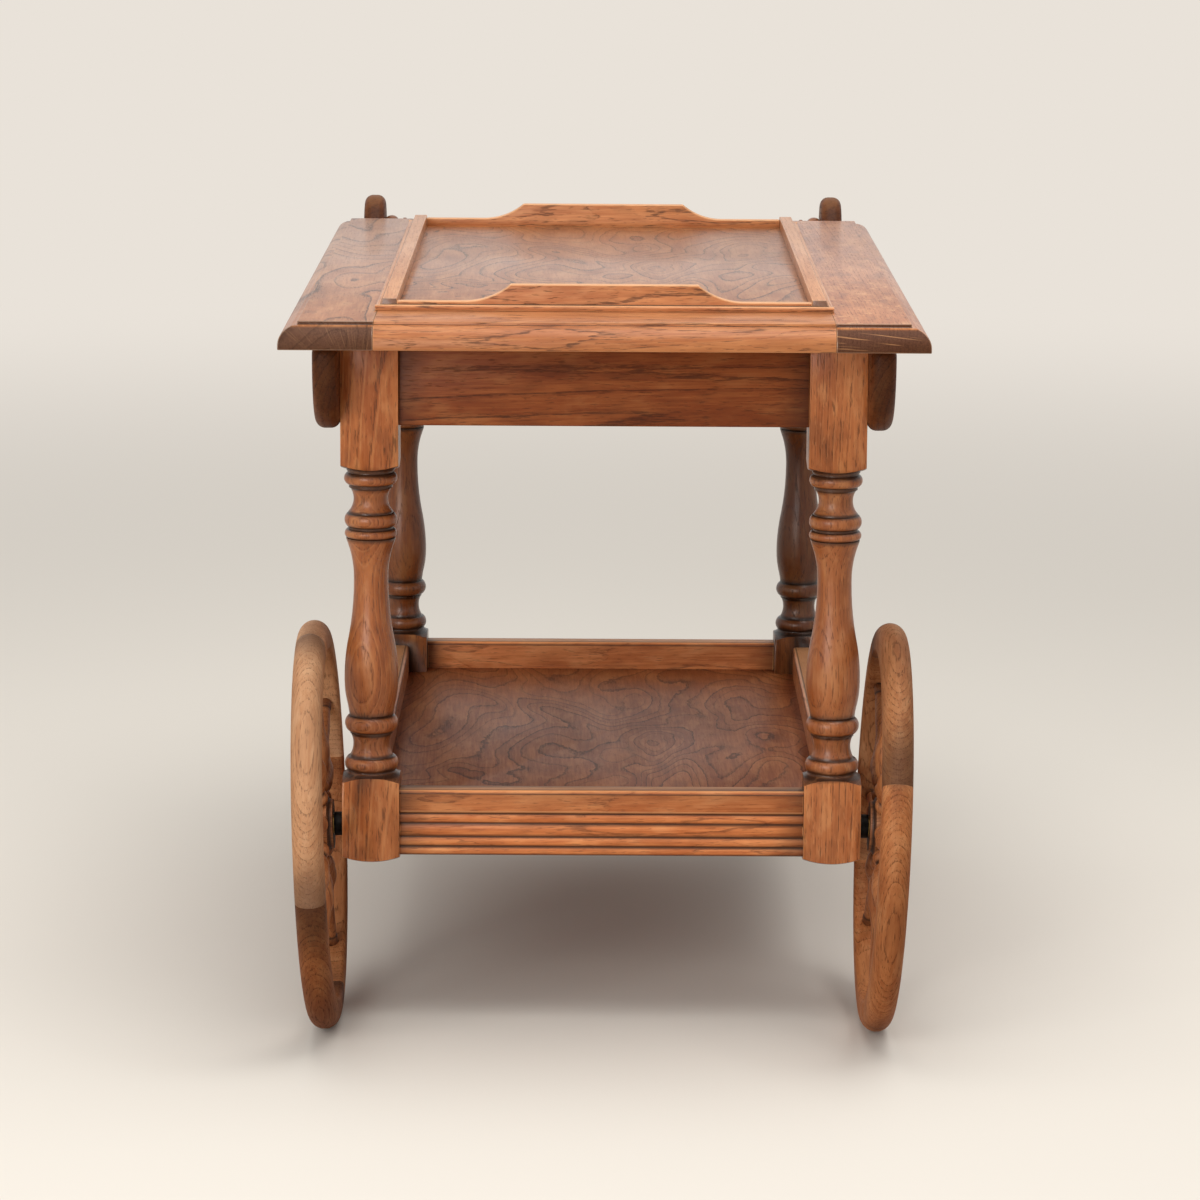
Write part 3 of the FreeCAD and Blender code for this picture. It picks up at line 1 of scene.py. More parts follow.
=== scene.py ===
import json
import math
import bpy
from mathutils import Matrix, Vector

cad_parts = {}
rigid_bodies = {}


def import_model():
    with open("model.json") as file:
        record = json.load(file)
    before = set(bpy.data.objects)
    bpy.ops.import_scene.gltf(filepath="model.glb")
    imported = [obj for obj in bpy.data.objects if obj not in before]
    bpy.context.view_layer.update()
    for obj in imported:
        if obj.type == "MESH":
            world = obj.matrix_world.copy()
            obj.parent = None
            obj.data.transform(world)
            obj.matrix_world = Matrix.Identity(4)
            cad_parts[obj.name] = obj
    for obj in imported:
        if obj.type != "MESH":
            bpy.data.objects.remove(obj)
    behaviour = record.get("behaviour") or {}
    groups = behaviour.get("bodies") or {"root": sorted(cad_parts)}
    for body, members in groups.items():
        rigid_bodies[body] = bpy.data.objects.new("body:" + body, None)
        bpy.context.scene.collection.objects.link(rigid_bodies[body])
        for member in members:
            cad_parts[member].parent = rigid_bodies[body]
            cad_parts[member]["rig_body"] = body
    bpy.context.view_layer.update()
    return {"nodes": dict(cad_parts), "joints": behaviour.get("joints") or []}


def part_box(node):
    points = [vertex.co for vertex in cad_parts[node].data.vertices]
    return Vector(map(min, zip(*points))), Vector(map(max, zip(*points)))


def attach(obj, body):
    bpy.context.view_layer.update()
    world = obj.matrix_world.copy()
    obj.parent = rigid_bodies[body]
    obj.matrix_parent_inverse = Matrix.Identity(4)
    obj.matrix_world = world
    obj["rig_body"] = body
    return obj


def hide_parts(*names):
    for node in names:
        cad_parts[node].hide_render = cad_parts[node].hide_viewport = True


bl_info = {
    "name": "Serving Trolley",
    "version": (1, 0, 0),
    "blender": (4, 5, 0),
    "location": "View3D > Sidebar > Trolley",
    "description": "Dresses the packed serving trolley in waxed oak, aged brass and blackened iron",
    "category": "Object",
}

import bmesh
import bpy
from bpy.props import FloatProperty, FloatVectorProperty, PointerProperty
from mathutils import Euler, Matrix, Vector
from mathutils.bvhtree import BVHTree
from mathutils.kdtree import KDTree

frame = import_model()

# Vertices of a node's mesh that stand nearer than the weld, in metres, are one, and so are faces
# that meet flatter than the flat angle.
WELD = 0.00001
FLAT = math.radians(0.6)
# How far a face's normal turns to Y before the face counts as a sawn end of a board along Y.
SAWN = 0.2
# Bevel faces across an arris, painted paler as wear and painted highlight, and across a groove's
# bottom, painted darker as dirt and painted shade.
ARRIS_STEPS = 2
GROOVE_STEPS = 1

# The hollow value these give darkens the wood as dirt and painted shade.
# The directions that a point looks in for walls, as tilts from its normal and steps round it.
OUTLOOK_TILTS = (22, 48, 70)
OUTLOOK_STEPS = 8
OUTLOOK = [
    Vector((math.sin(tilt) * math.cos(turn), math.sin(tilt) * math.sin(turn), math.cos(tilt)))
    for tilt in map(math.radians, OUTLOOK_TILTS)
    for turn in (math.tau * step / OUTLOOK_STEPS for step in range(OUTLOOK_STEPS))]
# How far off the surface a look starts, and how closed in the bottom of a groove counts.
LIFT = 0.0002
GROOVE_DEPTH = 0.5
# An edge counts as a groove's bottom from this share of the angle that makes an edge sharp.
GROOVE_BEND = 0.4

# How far the floor reaches, and where it starts and ends to fade into the backdrop.
FLOOR_REACH = 60
FADE = (1.2, 5.0)
SKY_COLOUR = (1.0, 0.985, 0.965, 1)
# Heights of the view direction between which the sky brightens, and its share at each.
SKY_HEIGHTS = (-0.1, 0.9)
SKY_SHARES = (0.5, 1.9)
LAMP_COLOUR = (1.0, 0.975, 0.94)
# Each lamp's name, place, aim, size and share of the power.
LAMPS = (
    ("Front lamp", (-1.7, -3.5, 1.4), (0, 0, 0.35), 2.0, 1.0),
    ("Top lamp", (0.3, -0.6, 2.9), (0, 0, 0.3), 2.2, 0.8),
)

# Turns that bring a board's fibres from its own axis to Z.
GRAIN_TURNS = {
    "X": (0, math.radians(-90), 0),
    "Y": (math.radians(90), 0, 0),
    "Z": (0, 0, 0),
}

# How dark the wood is through a year, for round growth and for peeled wood, and how pale its
# last rim is. Each point is a place in the year and a height.
EARLY_WOOD = (
    (0.0, 0.95), (0.06, 0.75), (0.2, 0.28), (0.45, 0.05), (0.9, 0.0), (0.97, 0.25), (1.0, 0.95))
PEELED = (
    (0.0, 1.0), (0.07, 0.8), (0.15, 0.3), (0.35, 0.1), (0.94, 0.0), (0.98, 0.5), (1.0, 1.0))
LATE_RIM = ((0.0, 0.0), (0.72, 0.0), (0.84, 1.0), (0.92, 0.3), (0.97, 0.0), (1.0, 0.0))

# Noise drawn out along the grain: its scale, its share of that scale along the grain, its detail.
LAYERS = {
    "fibre": (420.0, 0.035, 3.0),
    "broad": (38.0, 0.2, 2.0),
    "fine": (950.0, 0.08, 2.0),
    "dash": (520.0, 0.15, 2.0),
    "mottle": (70.0, 0.35, 2.5),
}
CLOUD = (13.0, 0.4, 2.0)
SWAY = (9.0, 0.2, 1.5)
RAGGED_ROUND = (210.0, 0.14, 3.0)
RAGGED_ROLLING = (190.0, 0.8, 3.0)
# From where to where each noise, which runs from 0 to 1 and mostly about 0.5, takes effect.
STREAKS = (0.38, 0.86)
CLOUDS = (0.42, 0.75)
MOTTLES = ((0.5, 0.7, "fleck"), (0.5, 0.3, "dark"))
BREAKS = (0.4, 0.58)
PORES = (0.6, 0.7)
RAYS = (0.6, 0.7)
SPECKS = (0.35, 0.65)
POLISH = (0.3, 0.7)
# From where to where a face that looks up is painted paler, as wear and painted highlight from
# above.
TOPS = (0.6, 0.95)
# How faint a year's lines may be, how far its luck shifts its tone, and how far early wood
# opens the pores.
FAINT_YEAR = 0.45
YEAR_SHIFT = 0.25
EARLY_PORES = 0.22
# How soft the edge of soaked-in stain is, and how ragged, soft and strong the darkening towards the
# tips is.
SOAK_SOFT = 0.004
TIP_RAGGED = 0.03
TIP_SOFT = 0.02
TIP_SHARE = 0.6
# Rays on end grain against those on a face: how many more, how much longer, and their strength
# alone and for each share of flecks.
END_RAYS = (1.6, 5.0)
END_FLECKS = (0.18, 0.5)
# Depth in metres and strength of the relief, and how deep a growth line is against a pore.
RELIEF = (0.00025, 0.6)
LINE_DEPTH = 0.3
# How much rougher an open pore is than the polish, and how the clouds vary the polish.
PORE_ROUGH = 0.25
POLISH_VARIES = (-0.04, 0.06)
COAT_ROUGH = 0.2
# Noise on metal: scale, detail and roughness of its dull patches and of its small spots, from
# where to where each takes effect, how rough the patches are, and depth and strength of the spots.
PATCH_NOISE = (90.0, 4.0, 0.6)
SPOT_NOISE = (700.0, 2.0, 0.5)
PATCHES = (0.35, 0.65)
SPOTS = (0.6, 0.75)
PATCH_ROUGH = 0.2
SPOT_RELIEF = (0.0001, 0.3)

PLAIN_OAK = {
    # The heart's place from the board's middle, how the fibres lean, a turn of its own.
    "away": (0.02, 0.06), "lean": (0.03, 0.02), "turn": None,
    # How light and how rich the stain is.
    "light": 1.0, "rich": 1.0,
    # Growth: its spacing, sway and ragged edge, or scale, count and stretch of rolling growth.
    "growth": 1.0, "wander": 0.008, "jag": 0.5, "rolling": None,
    # Growth lines: their strength, how near black they are, how far they run unbroken, and the
    # strength of the pale rim beside them.
    "lines": 0.5, "ink": 0.0, "unbroken": 0.25, "pale_lines": 0.0,
    # Strengths of pores and rays, rays round the heart, strengths of fibres, clouds and mottling.
    "pores": 0.5, "flecks": 0.0, "ray_turns": 70.0, "streaks": 1.4, "clouds": 0.3, "mottle": 0.25,
    # Stain that soaked in: from a height to a height with a share, or darkening towards the tips,
    # with half the piece's length along its grain where its box doesn't give it.
    "soaked": None, "tips": 0.0, "half": None,
    # From where to where a face cuts the fibres, and how much of the end grain shows.
    "ends": (0.35, 0.8), "end_share": 0.9,
    # Paler tops and paler all over, as wear and painted highlight, and darkening in the open and in
    # the hollows between two depths, as dirt and painted shade.
    "up_worn": 0.0, "worn": 0.0, "darkening": 0.0, "dirt": 0.85, "reach": (0.06, 0.45),
    # The polish.
    "rough": 0.42, "shine": 0.3, "coat": 0.0,
}

# How a turned or curved piece is eased.
TURNED = dict(angle=40, least=0, clamp=True)


def tone(red, green, blue):
    """A screen colour, 0 to 255, as the shader wants it."""
    def linear(value):
        value /= 255
        return value / 12.92 if value <= 0.04045 else ((value + 0.055) / 1.055) ** 2.4
    return (linear(red), linear(green), linear(blue), 1.0)


def colour(name, description, red, green, blue):
    return FloatVectorProperty(
        name=name, description=description, subtype="COLOR", size=4, min=0, max=1,
        default=tone(red, green, blue))


class OakColours(bpy.types.PropertyGroup):
    """Colours of the waxed oak."""
    pale: colour("Pale", "Late wood between the growth lines", 200, 130, 80)
    body: colour("Body", "Main colour of the waxed oak", 172, 101, 57)
    dark: colour("Dark", "Open early wood that took most stain", 108, 58, 31)
    pore: colour("Pores", "Stain held in the open pores", 52, 29, 17)
    fleck: colour("Flecks", "Rays that took less stain", 226, 168, 116)
    end: colour("End grain", "Stained end grain", 98, 62, 44)
    # Paler tone of arrises and upward faces: wear and painted highlight.
    worn: colour("Worn edge", "Edges rubbed pale by use", 232, 176, 126)
    # Darker tone of hollows and groove bottoms, as dirt and painted shade; it also darkens towards
    # the tips.
    darkening: colour("Grime", "Old wax and dirt in the grooves", 44, 26, 17)


class TrolleySizes(bpy.types.PropertyGroup):
    """Small sizes that only the finish has."""
    # Eased arrises are painted paler, as wear and painted highlight; filled groove bottoms darker,
    # as dirt and painted shade.
    ease: FloatProperty(
        name="Edge ease", description="Width of the rubbed arrises", default=0.0008,
        min=0.0001, max=0.003, unit="LENGTH", precision=5)
    fill: FloatProperty(
        name="Groove fill", description="Width of the dirt at the bottom of a groove",
        default=0.0005, min=0.0001, max=0.003, unit="LENGTH", precision=5)
    growth: FloatProperty(
        name="Growth", description="Distance between two growth lines", default=0.0042,
        min=0.001, max=0.02, unit="LENGTH", precision=5)
    ray: FloatProperty(
        name="Ray", description="Length of the rays along the grain", default=0.012,
        min=0.002, max=0.05, unit="LENGTH", precision=5)


class StageSettings(bpy.types.PropertyGroup):
    """Camera, light and floor."""
    eye: FloatVectorProperty(
        name="Eye", description="Place of the camera", subtype="TRANSLATION", unit="LENGTH",
        default=(-0.010214, -4.214839, 1.108094), precision=6)
    pitch: FloatProperty(
        name="Pitch", description="How far the camera looks down", unit="ROTATION",
        default=math.radians(10.6335))
    yaw: FloatProperty(
        name="Yaw", description="How far the camera turns to the left", unit="ROTATION",
        default=math.radians(-0.11641))
    roll: FloatProperty(
        name="Roll", description="Tilt of the picture", unit="ROTATION",
        default=math.radians(0.33672))
    lens: FloatProperty(
        name="Lens", description="Focal length on a 36 mm sensor, in millimetres",
        default=135.0009, min=10, max=500)
    floor: colour("Floor", "The floor as it is seen", 221, 216, 208)
    backdrop: colour("Backdrop", "What is seen far behind the trolley", 233, 226, 217)
    bounce: colour("Bounce", "What the floor throws back on the wood", 180, 158, 134)
    lamp: FloatProperty(
        name="Lamp", description="Power of the front lamp, in watts", default=70, min=0, max=1000)
    sky: FloatProperty(
        name="Sky", description="Strength of the world", default=0.4, min=0, max=2)


class Nodes:
    """A tree of shader nodes under construction."""

    def __init__(self, tree):
        self.tree = tree

    def put(self, value, socket):
        """Give a socket a value or link another node's socket to it."""
        if isinstance(value, bpy.types.NodeSocket):
            self.tree.links.new(value, socket)
        else:
            socket.default_value = value

    def add(self, kind, inputs=(), **settings):
        """A node with its settings and its inputs."""
        node = self.tree.nodes.new(kind)
        for key, value in settings.items():
            setattr(node, key, value)
        for key, value in dict(inputs).items():
            self.put(value, node.inputs[key])
        return node

    def maths(self, kind, first, second=0.5, third=0.0):
        node = self.add("ShaderNodeMath", {0: first, 1: second, 2: third}, operation=kind)
        return node.outputs[0]

    def vector(self, kind, first, second=(0, 0, 0)):
        node = self.add("ShaderNodeVectorMath", {0: first, 1: second}, operation=kind)
        return node.outputs["Value" if kind == "LENGTH" else "Vector"]

    def parts(self, vector):
        return self.add("ShaderNodeSeparateXYZ", {0: vector}).outputs

    def noise(self, vector, scale, detail, roughness, distortion=0.0):
        """Noise as one number and as a colour."""
        node = self.add("ShaderNodeTexNoise", {
            "Vector": vector, "Scale": scale, "Detail": detail, "Roughness": roughness,
            "Distortion": distortion})
        return node.outputs[0], node.outputs["Color"]

    def span(self, value, low, high, to_low=0.0, to_high=1.0, smooth=False):
        """A value's place between low and high, held between to_low and to_high."""
        node = self.add("ShaderNodeMapRange", {
            "Value": value, "From Min": low, "From Max": high, "To Min": to_low,
            "To Max": to_high}, interpolation_type="SMOOTHSTEP" if smooth else "LINEAR")
        return node.outputs["Result"]

    def blend(self, factor, first, second):
        """One colour laid over another by a factor."""
        node = self.add("ShaderNodeMix", data_type="RGBA", clamp_factor=True)
        sockets = {item.identifier: item for item in node.inputs}
        self.put(factor, sockets["Factor_Float"])
        self.put(first, sockets["A_Color"])
        self.put(second, sockets["B_Color"])
        return [item for item in node.outputs if item.identifier == "Result_Color"][0]

    def curve(self, value, points):
        """A value sent through a curve of straight runs between points."""
        node = self.add("ShaderNodeFloatCurve", {"Value": value})
        curve = node.mapping.curves[0]
        for place, (across, height) in enumerate(points):
            if place in (0, len(points) - 1):
                point = curve.points[0 if place == 0 else -1]
                point.location = (across, height)
            else:
                point = curve.points.new(across, height)
            point.handle_type = "VECTOR"
        node.mapping.update()
        return node.outputs[0]

    def seen(self):
        """One for what the camera sees, itself or in a mirror or through glass."""
        path = self.add("ShaderNodeLightPath").outputs
        direct = self.maths("ADD", path["Is Camera Ray"], path["Is Glossy Ray"])
        return self.maths("ADD", direct, path["Is Transmission Ray"])


class Finish(Nodes):
    """One material under construction."""

    def __init__(self, name):
        self.material = bpy.data.materials.new(name)
        self.material.use_nodes = True
        super().__init__(self.material.node_tree)
        self.shader = self.tree.nodes["Principled BSDF"]

    def give(self, **inputs):
        """Values or sockets for the shader's own inputs."""
        for key, value in inputs.items():
            self.put(value, self.shader.inputs[key.replace("_", " ")])

    def relief(self, height, distance, strength):
        bump = self.add("ShaderNodeBump", {
            "Height": height, "Distance": distance, "Strength": strength})
        self.tree.links.new(bump.outputs["Normal"], self.shader.inputs["Normal"])


def stained(base, light, rich):
    """A base colour under a stain: rich above one deepens its red, light below one darkens it."""
    return tuple(light * channel ** rich for channel in base[:3]) + (1,)


class Oak(Finish):
    """Waxed oak, figured right through a piece so that its faces, edges and ends agree."""

    def __init__(self, name, node, along, changes):
        super().__init__(name)
        self.look = {**PLAIN_OAK, **changes}
        self.turn = self.look["turn"] or GRAIN_TURNS[along]
        self.low, self.high = (Vector(corner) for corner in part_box(node))
        colours = bpy.context.scene.oak_colours
        self.tones = {
            key: stained(getattr(colours, key), self.look["light"], self.look["rich"])
            for key in OakColours.__annotations__}
        self.find_grain()
        self.find_growth()
        self.layers = {key: self.drawn_out(*layer)[0] for key, layer in LAYERS.items()}
        self.cloud = self.drawn_out(*CLOUD, roughness=0.5)[0]

    def find_grain(self):
        """The tree's own space, its Z axis along the fibres and its heart at the origin.

        Also how squarely a face cuts the fibres, the place along them and how far it looks up."""
        away, lean = self.look["away"], self.look["lean"]
        middle = Euler(self.turn).to_matrix() @ ((self.low + self.high) / 2)
        place = self.add("ShaderNodeTexCoord").outputs
        straight = self.add("ShaderNodeMapping", {
            "Vector": place["Object"], "Rotation": self.turn,
            "Location": -middle}).outputs["Vector"]
        self.grain = self.add("ShaderNodeMapping", {
            "Vector": straight, "Location": (-away[0], -away[1], 0),
            "Rotation": (lean[0], lean[1], 0)}).outputs["Vector"]
        normal = self.add("ShaderNodeMapping", {
            "Vector": place["Normal"], "Rotation": self.turn}).outputs["Vector"]
        self.facing = self.maths("ABSOLUTE", self.parts(normal)["Z"])
        self.along = self.parts(straight)["Z"]
        self.up = self.parts(place["Normal"])["Z"]

    def find_growth(self):
        """How far through its year a point is, a number drawn for that year, and how dark
        early wood makes the point."""
        rolling = self.look["rolling"]
        years = self.rolling_years(*rolling) if rolling else self.round_years()
        self.year = self.maths("FRACT", years)
        self.luck = self.add(
            "ShaderNodeTexWhiteNoise", {"W": self.maths("FLOOR", years)},
            noise_dimensions="1D").outputs["Value"]
        early = self.curve(self.year, PEELED if rolling else EARLY_WOOD)
        self.early = self.maths("MULTIPLY", early, self.span(self.luck, 0, 1, FAINT_YEAR, 1))

    def drawn_out(self, scale, stretch, detail, roughness=0.6, distortion=0.0):
        """Noise drawn out along the grain."""
        flat = self.vector("MULTIPLY", self.grain, (1, 1, stretch))
        return self.noise(flat, scale, detail, roughness, distortion)

    def round_years(self):
        """Years counted outwards from the heart, with swaying and ragged lines."""
        drift = self.drawn_out(*SWAY, roughness=0.5)[1]
        sway = self.vector("SUBTRACT", drift, (0.5, 0.5, 0.5))
        wander = self.look["wander"] * 2
        bent = self.vector("ADD", self.grain, self.vector("MULTIPLY", sway, (wander, wander, 0)))
        spacing = bpy.context.scene.trolley_sizes.growth * self.look["growth"]
        ragged = self.maths("MULTIPLY", self.drawn_out(*RAGGED_ROUND)[0], self.look["jag"])
        return self.maths("MULTIPLY_ADD", self.from_heart(bent), 1 / spacing, ragged)

    def rolling_years(self, scale, count, stretch):
        """Years as level lines over a slowly rolling surface, as in flat-cut and peeled oak."""
        roll = self.drawn_out(scale, stretch, 1.8, roughness=0.4, distortion=0.5)[0]
        fineness, share, detail = RAGGED_ROLLING
        edge = self.drawn_out(fineness, stretch * share, detail)[0]
        ragged = self.maths("MULTIPLY", edge, self.look["jag"])
        return self.maths("MULTIPLY_ADD", roll, count, ragged)

    def from_heart(self, place):
        return self.vector("LENGTH", self.vector("MULTIPLY", place, (1, 1, 0)))

    def rays(self, turns, length):
        """Thin sheets that stand out from the heart: flecks on a face, lines on an end."""
        parts = self.parts(self.grain)
        angle = self.maths("ARCTAN2", parts["Y"], parts["X"])
        reach = 1 / (bpy.context.scene.trolley_sizes.ray * length)
        sheet = self.add("ShaderNodeCombineXYZ", {
            0: self.maths("MULTIPLY", angle, turns),
            1: self.maths("MULTIPLY", self.from_heart(self.grain), reach),
            2: self.maths("MULTIPLY", parts["Z"], reach)}).outputs[0]
        return self.span(self.noise(sheet, 1.0, 2.0, 0.5, 0.4)[0], *RAYS, 0, 1, True)

    def over(self, shade, factor, key, share=None):
        """One of the oak's colours laid over a shade, by a factor and a share of it."""
        if share is not None:
            factor = self.maths("MULTIPLY", factor, share)
        return self.blend(factor, shade, self.tones[key])

    def ground(self):
        """The wood between its lines: streaks, clouds and mottling."""
        look, layers = self.look, self.layers
        streak = self.maths("SUBTRACT", layers["fibre"], 0.5)
        band = self.maths("MULTIPLY_ADD", self.luck, YEAR_SHIFT, layers["broad"])
        place = self.maths("MULTIPLY_ADD", streak, look["streaks"], band)
        shade = self.over(self.tones["pale"], self.span(place, *STREAKS), "body")
        shade = self.over(shade, self.span(self.cloud, *CLOUDS, 0, look["clouds"]), "dark")
        for low, high, key in MOTTLES:
            patch = self.span(layers["mottle"], low, high, 0, look["mottle"], True)
            shade = self.over(shade, patch, key)
        return shade

    def figure(self, shade):
        """Growth lines, pores, pale rims and rays."""
        look, layers = self.look, self.layers
        broken = self.span(layers["dash"], *BREAKS, look["unbroken"], 1.0)
        self.line = self.maths(
            "MULTIPLY", self.maths("MULTIPLY", self.early, broken), look["lines"])
        ink = self.over(self.tones["dark"], look["ink"], "pore")
        shade = self.blend(self.line, shade, ink)
        opened = self.maths("MULTIPLY_ADD", self.early, EARLY_PORES, layers["fine"])
        self.pore = self.span(opened, *PORES, 0, look["pores"], True)
        shade = self.over(shade, self.pore, "pore")
        if look["pale_lines"]:
            shade = self.over(shade, self.curve(self.year, LATE_RIM), "fleck", look["pale_lines"])
        if look["flecks"]:
            shade = self.over(shade, self.rays(look["ray_turns"], 1.0), "fleck", look["flecks"])
        return shade

    def soaked(self, shade):
        """Stain that soaked in between two heights, and darkening towards both tips."""
        look = self.look
        if look["soaked"]:
            low, high, share = look["soaked"]
            middle = (self.low.z + self.high.z) / 2
            off = self.maths("SUBTRACT", self.along, (low + high) / 2 - middle)
            half = (high - low) / 2
            band = self.span(self.maths("ABSOLUTE", off), half - SOAK_SOFT, half, share, 0)
            shade = self.over(shade, band, "dark")
        if look["tips"]:
            size = Euler(self.turn).to_matrix() @ (self.high - self.low)
            edge = (look["half"] or abs(size.z / 2)) - look["tips"]
            off = self.maths("ABSOLUTE", self.along)
            reach = self.maths("MULTIPLY_ADD", self.cloud, TIP_RAGGED, off)
            tip = self.span(reach, edge - TIP_SOFT, edge + TIP_SOFT, 0, TIP_SHARE, True)
            shade = self.over(shade, tip, "darkening")
        return shade

    def end_grain(self):
        """Dark stained ends, with growth lines and pale rays that run out from the heart."""
        specks = self.span(self.layers["fine"], *SPECKS, 0, 0.5)
        shade = self.over(self.tones["end"], specks, "pore")
        shade = self.over(shade, self.early, "pore", 0.45)
        more, longer = END_RAYS
        least, each = END_FLECKS
        sheet = self.rays(self.look["ray_turns"] * more, longer)
        return self.over(shade, sheet, "fleck", least + each * self.look["flecks"])

    def wear(self, shade):
        """Paler tops and paler all over, as wear and painted highlight, and darkening where the
        piece is closed in, as dirt and painted shade.
        """
        look = self.look
        # Painted highlight and wear: faces that look up are paler.
        if look["up_worn"]:
            top = self.span(self.up, *TOPS, 0, look["up_worn"], True)
            shade = self.over(shade, top, "worn")
        # Painted highlight and wear: the arris material is paler all over.
        if look["worn"]:
            shade = self.over(shade, look["worn"], "worn")
        # Painted shade and dirt: darker where the piece is closed in.
        hollow = self.add(
            "ShaderNodeAttribute", attribute_type="GEOMETRY", attribute_name="hollow")
        dirt = self.span(hollow.outputs["Fac"], *look["reach"], look["darkening"], look["dirt"])
        return self.over(shade, dirt, "darkening")

    def make(self):
        """Lay all of it down, with the polish and the open pores, and hand over the material."""
        look = self.look
        shade = self.soaked(self.figure(self.ground()))
        cut = self.span(self.facing, *look["ends"], 0, look["end_share"], True)
        shade = self.wear(self.blend(cut, shade, self.end_grain()))
        gloss = self.maths(
            "ADD", self.span(self.pore, 0, 1, look["rough"], look["rough"] + PORE_ROUGH),
            self.span(self.cloud, *POLISH, *POLISH_VARIES))
        self.give(
            Base_Color=shade, Roughness=gloss, Specular_IOR_Level=look["shine"],
            Coat_Weight=look["coat"], Coat_Roughness=COAT_ROUGH)
        sunk = self.maths("MULTIPLY", self.line, -LINE_DEPTH)
        self.relief(self.maths("MULTIPLY_ADD", self.pore, -1.0, sunk), *RELIEF)
        return self.material


def oak(name, node, along="X", **changes):
    """An oak material for a node, its grain along one axis, with changes to the plain look."""
    return Oak(name, node, along, changes).make()


def oak_set(name, node, along="X", arris_wear_and_highlight=0.22, **looks):
    """The materials of one board: its faces, its arrises painted paler as wear and painted
    highlight, and its groove bottoms painted darker as dirt and painted shade.
    """
    return [
        oak(f"{name} oak", node, along, **looks),
        oak(f"{name} worn oak", node, along, **{**looks, "worn": looks.get("worn", 0) + arris_wear_and_highlight}),
        oak(f"{name} groove_dirt_and_shade oak", node, along, **{**looks, "darkening": 0.8, "dirt": 0.9}),
    ]


def metal(name, base, dull, rough, darkening):
    """Aged metal with dull patches and small spots."""
    finish = Finish(name)
    place = finish.add("ShaderNodeTexCoord").outputs["Object"]
    patches = finish.noise(place, *PATCH_NOISE)[0]
    spots = finish.noise(place, *SPOT_NOISE)[0]
    shade = finish.blend(finish.span(patches, *PATCHES, 0.1, darkening), base, dull)
    shade = finish.blend(finish.span(spots, *SPOTS, 0, 0.5), shade, dull)
    gloss = finish.span(patches, *POLISH, rough, rough + PATCH_ROUGH)
    finish.give(Base_Color=shade, Metallic=1.0, Roughness=gloss)
    finish.relief(spots, *SPOT_RELIEF)
    return finish.material


def eased_piece(name, node, materials, ease=None, angle=32, fill=None, hollows=0.0, cut=None,
                least=0.001, groove=0.003, clamp=False):
    """A piece in a node's shape with arrises painted paler and grooves painted darker.

    The materials are for the faces, the arrises (wear and painted highlight) and the bottoms of
    grooves (dirt and painted shade), and cut is the one for ends that face along Y. Hollows is how
    far a wall may stand from a point and still darken it, as dirt and painted shade, and groove is
    how far that darkening reaches from the bottom of a groove. Edges shorter than least stay as
    they are, and clamp narrows the others where they would overlap."""
    sizes = bpy.context.scene.trolley_sizes
    ease = sizes.ease if ease is None else ease
    fill = min(ease, sizes.fill) if fill is None else fill
    limit = math.radians(angle)
    shape = bmesh.new()
    shape.from_mesh(frame["nodes"][node].data)
    bmesh.ops.remove_doubles(shape, verts=shape.verts, dist=WELD)
    bmesh.ops.dissolve_limit(shape, angle_limit=FLAT, verts=shape.verts, edges=shape.edges)
    for face in shape.faces:
        face.material_index = len(materials) if cut and abs(face.normal.y) > SAWN else 0
        face.smooth = min(edge.calc_face_angle(0) for edge in face.edges) < limit / 2
    # Arrises take the paler material, as wear and painted highlight; groove bottoms the darker one,
    # as dirt and painted shade.
    ease_edges(shape, limit, least, ease, ARRIS_STEPS, min(1, len(materials) - 1), clamp)
    ease_edges(shape, -limit, least, fill, GROOVE_STEPS, len(materials) - 1, clamp)
    if hollows:
        mark_hollows(shape, hollows, -limit * GROOVE_BEND, groove)
    mesh = bpy.data.meshes.new(name)
    shape.to_mesh(mesh)
    shape.free()
    mesh.set_sharp_from_angle(angle=limit)
    for material in materials + ([cut] if cut else []):
        mesh.materials.append(material)
    piece = bpy.data.objects.new(name.replace(" ", "_"), mesh)
    bpy.context.scene.collection.objects.link(piece)
    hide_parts(node)
    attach(piece, frame["nodes"][node]["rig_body"])
    return piece


def ease_edges(shape, bend, least, width, steps, index, clamp):
    """Bevel the edges that turn out by more than a bend, or in where it is below zero."""
    if not width:
        return
    way = math.copysign(1, bend)
    edges = [edge for edge in shape.edges
             if edge.calc_face_angle_signed(0) * way > abs(bend) and edge.calc_length() > least]
    if not edges:
        return
    made = bmesh.ops.bevel(
        shape, geom=edges, offset=width, offset_type="OFFSET", segments=steps, profile=0.5,
        affect="EDGES", clamp_overlap=clamp, material=-1)
    for face in made["faces"]:
        face.material_index = index
        face.smooth = True


def mark_hollows(shape, reach, bend, groove):
    """Note at every vertex how closed in it is: by walls within reach or by a groove nearby. The
    oak darkens by this, as dirt and painted shade.
    """
    shape.normal_update()
    tree = BVHTree.FromBMesh(shape)
    layer = shape.verts.layers.float.new("hollow")
    upright = Vector((0, 0, 1))
    bottoms = {
        vert for edge in shape.edges if edge.calc_face_angle_signed(0) < bend
        for vert in edge.verts}
    near = KDTree(len(bottoms))
    for number, vert in enumerate(bottoms):
        near.insert(vert.co, number)
    near.balance()
    for vert in shape.verts:
        turn = upright.rotation_difference(vert.normal)
        start = vert.co + vert.normal * LIFT
        met = [ray for ray in OUTLOOK if tree.ray_cast(start, turn @ ray, reach)[0]]
        away = near.find(vert.co)[2] if bottoms else groove
        vert[layer] = max(len(met) / len(OUTLOOK), GROOVE_DEPTH * (1 - away / groove))


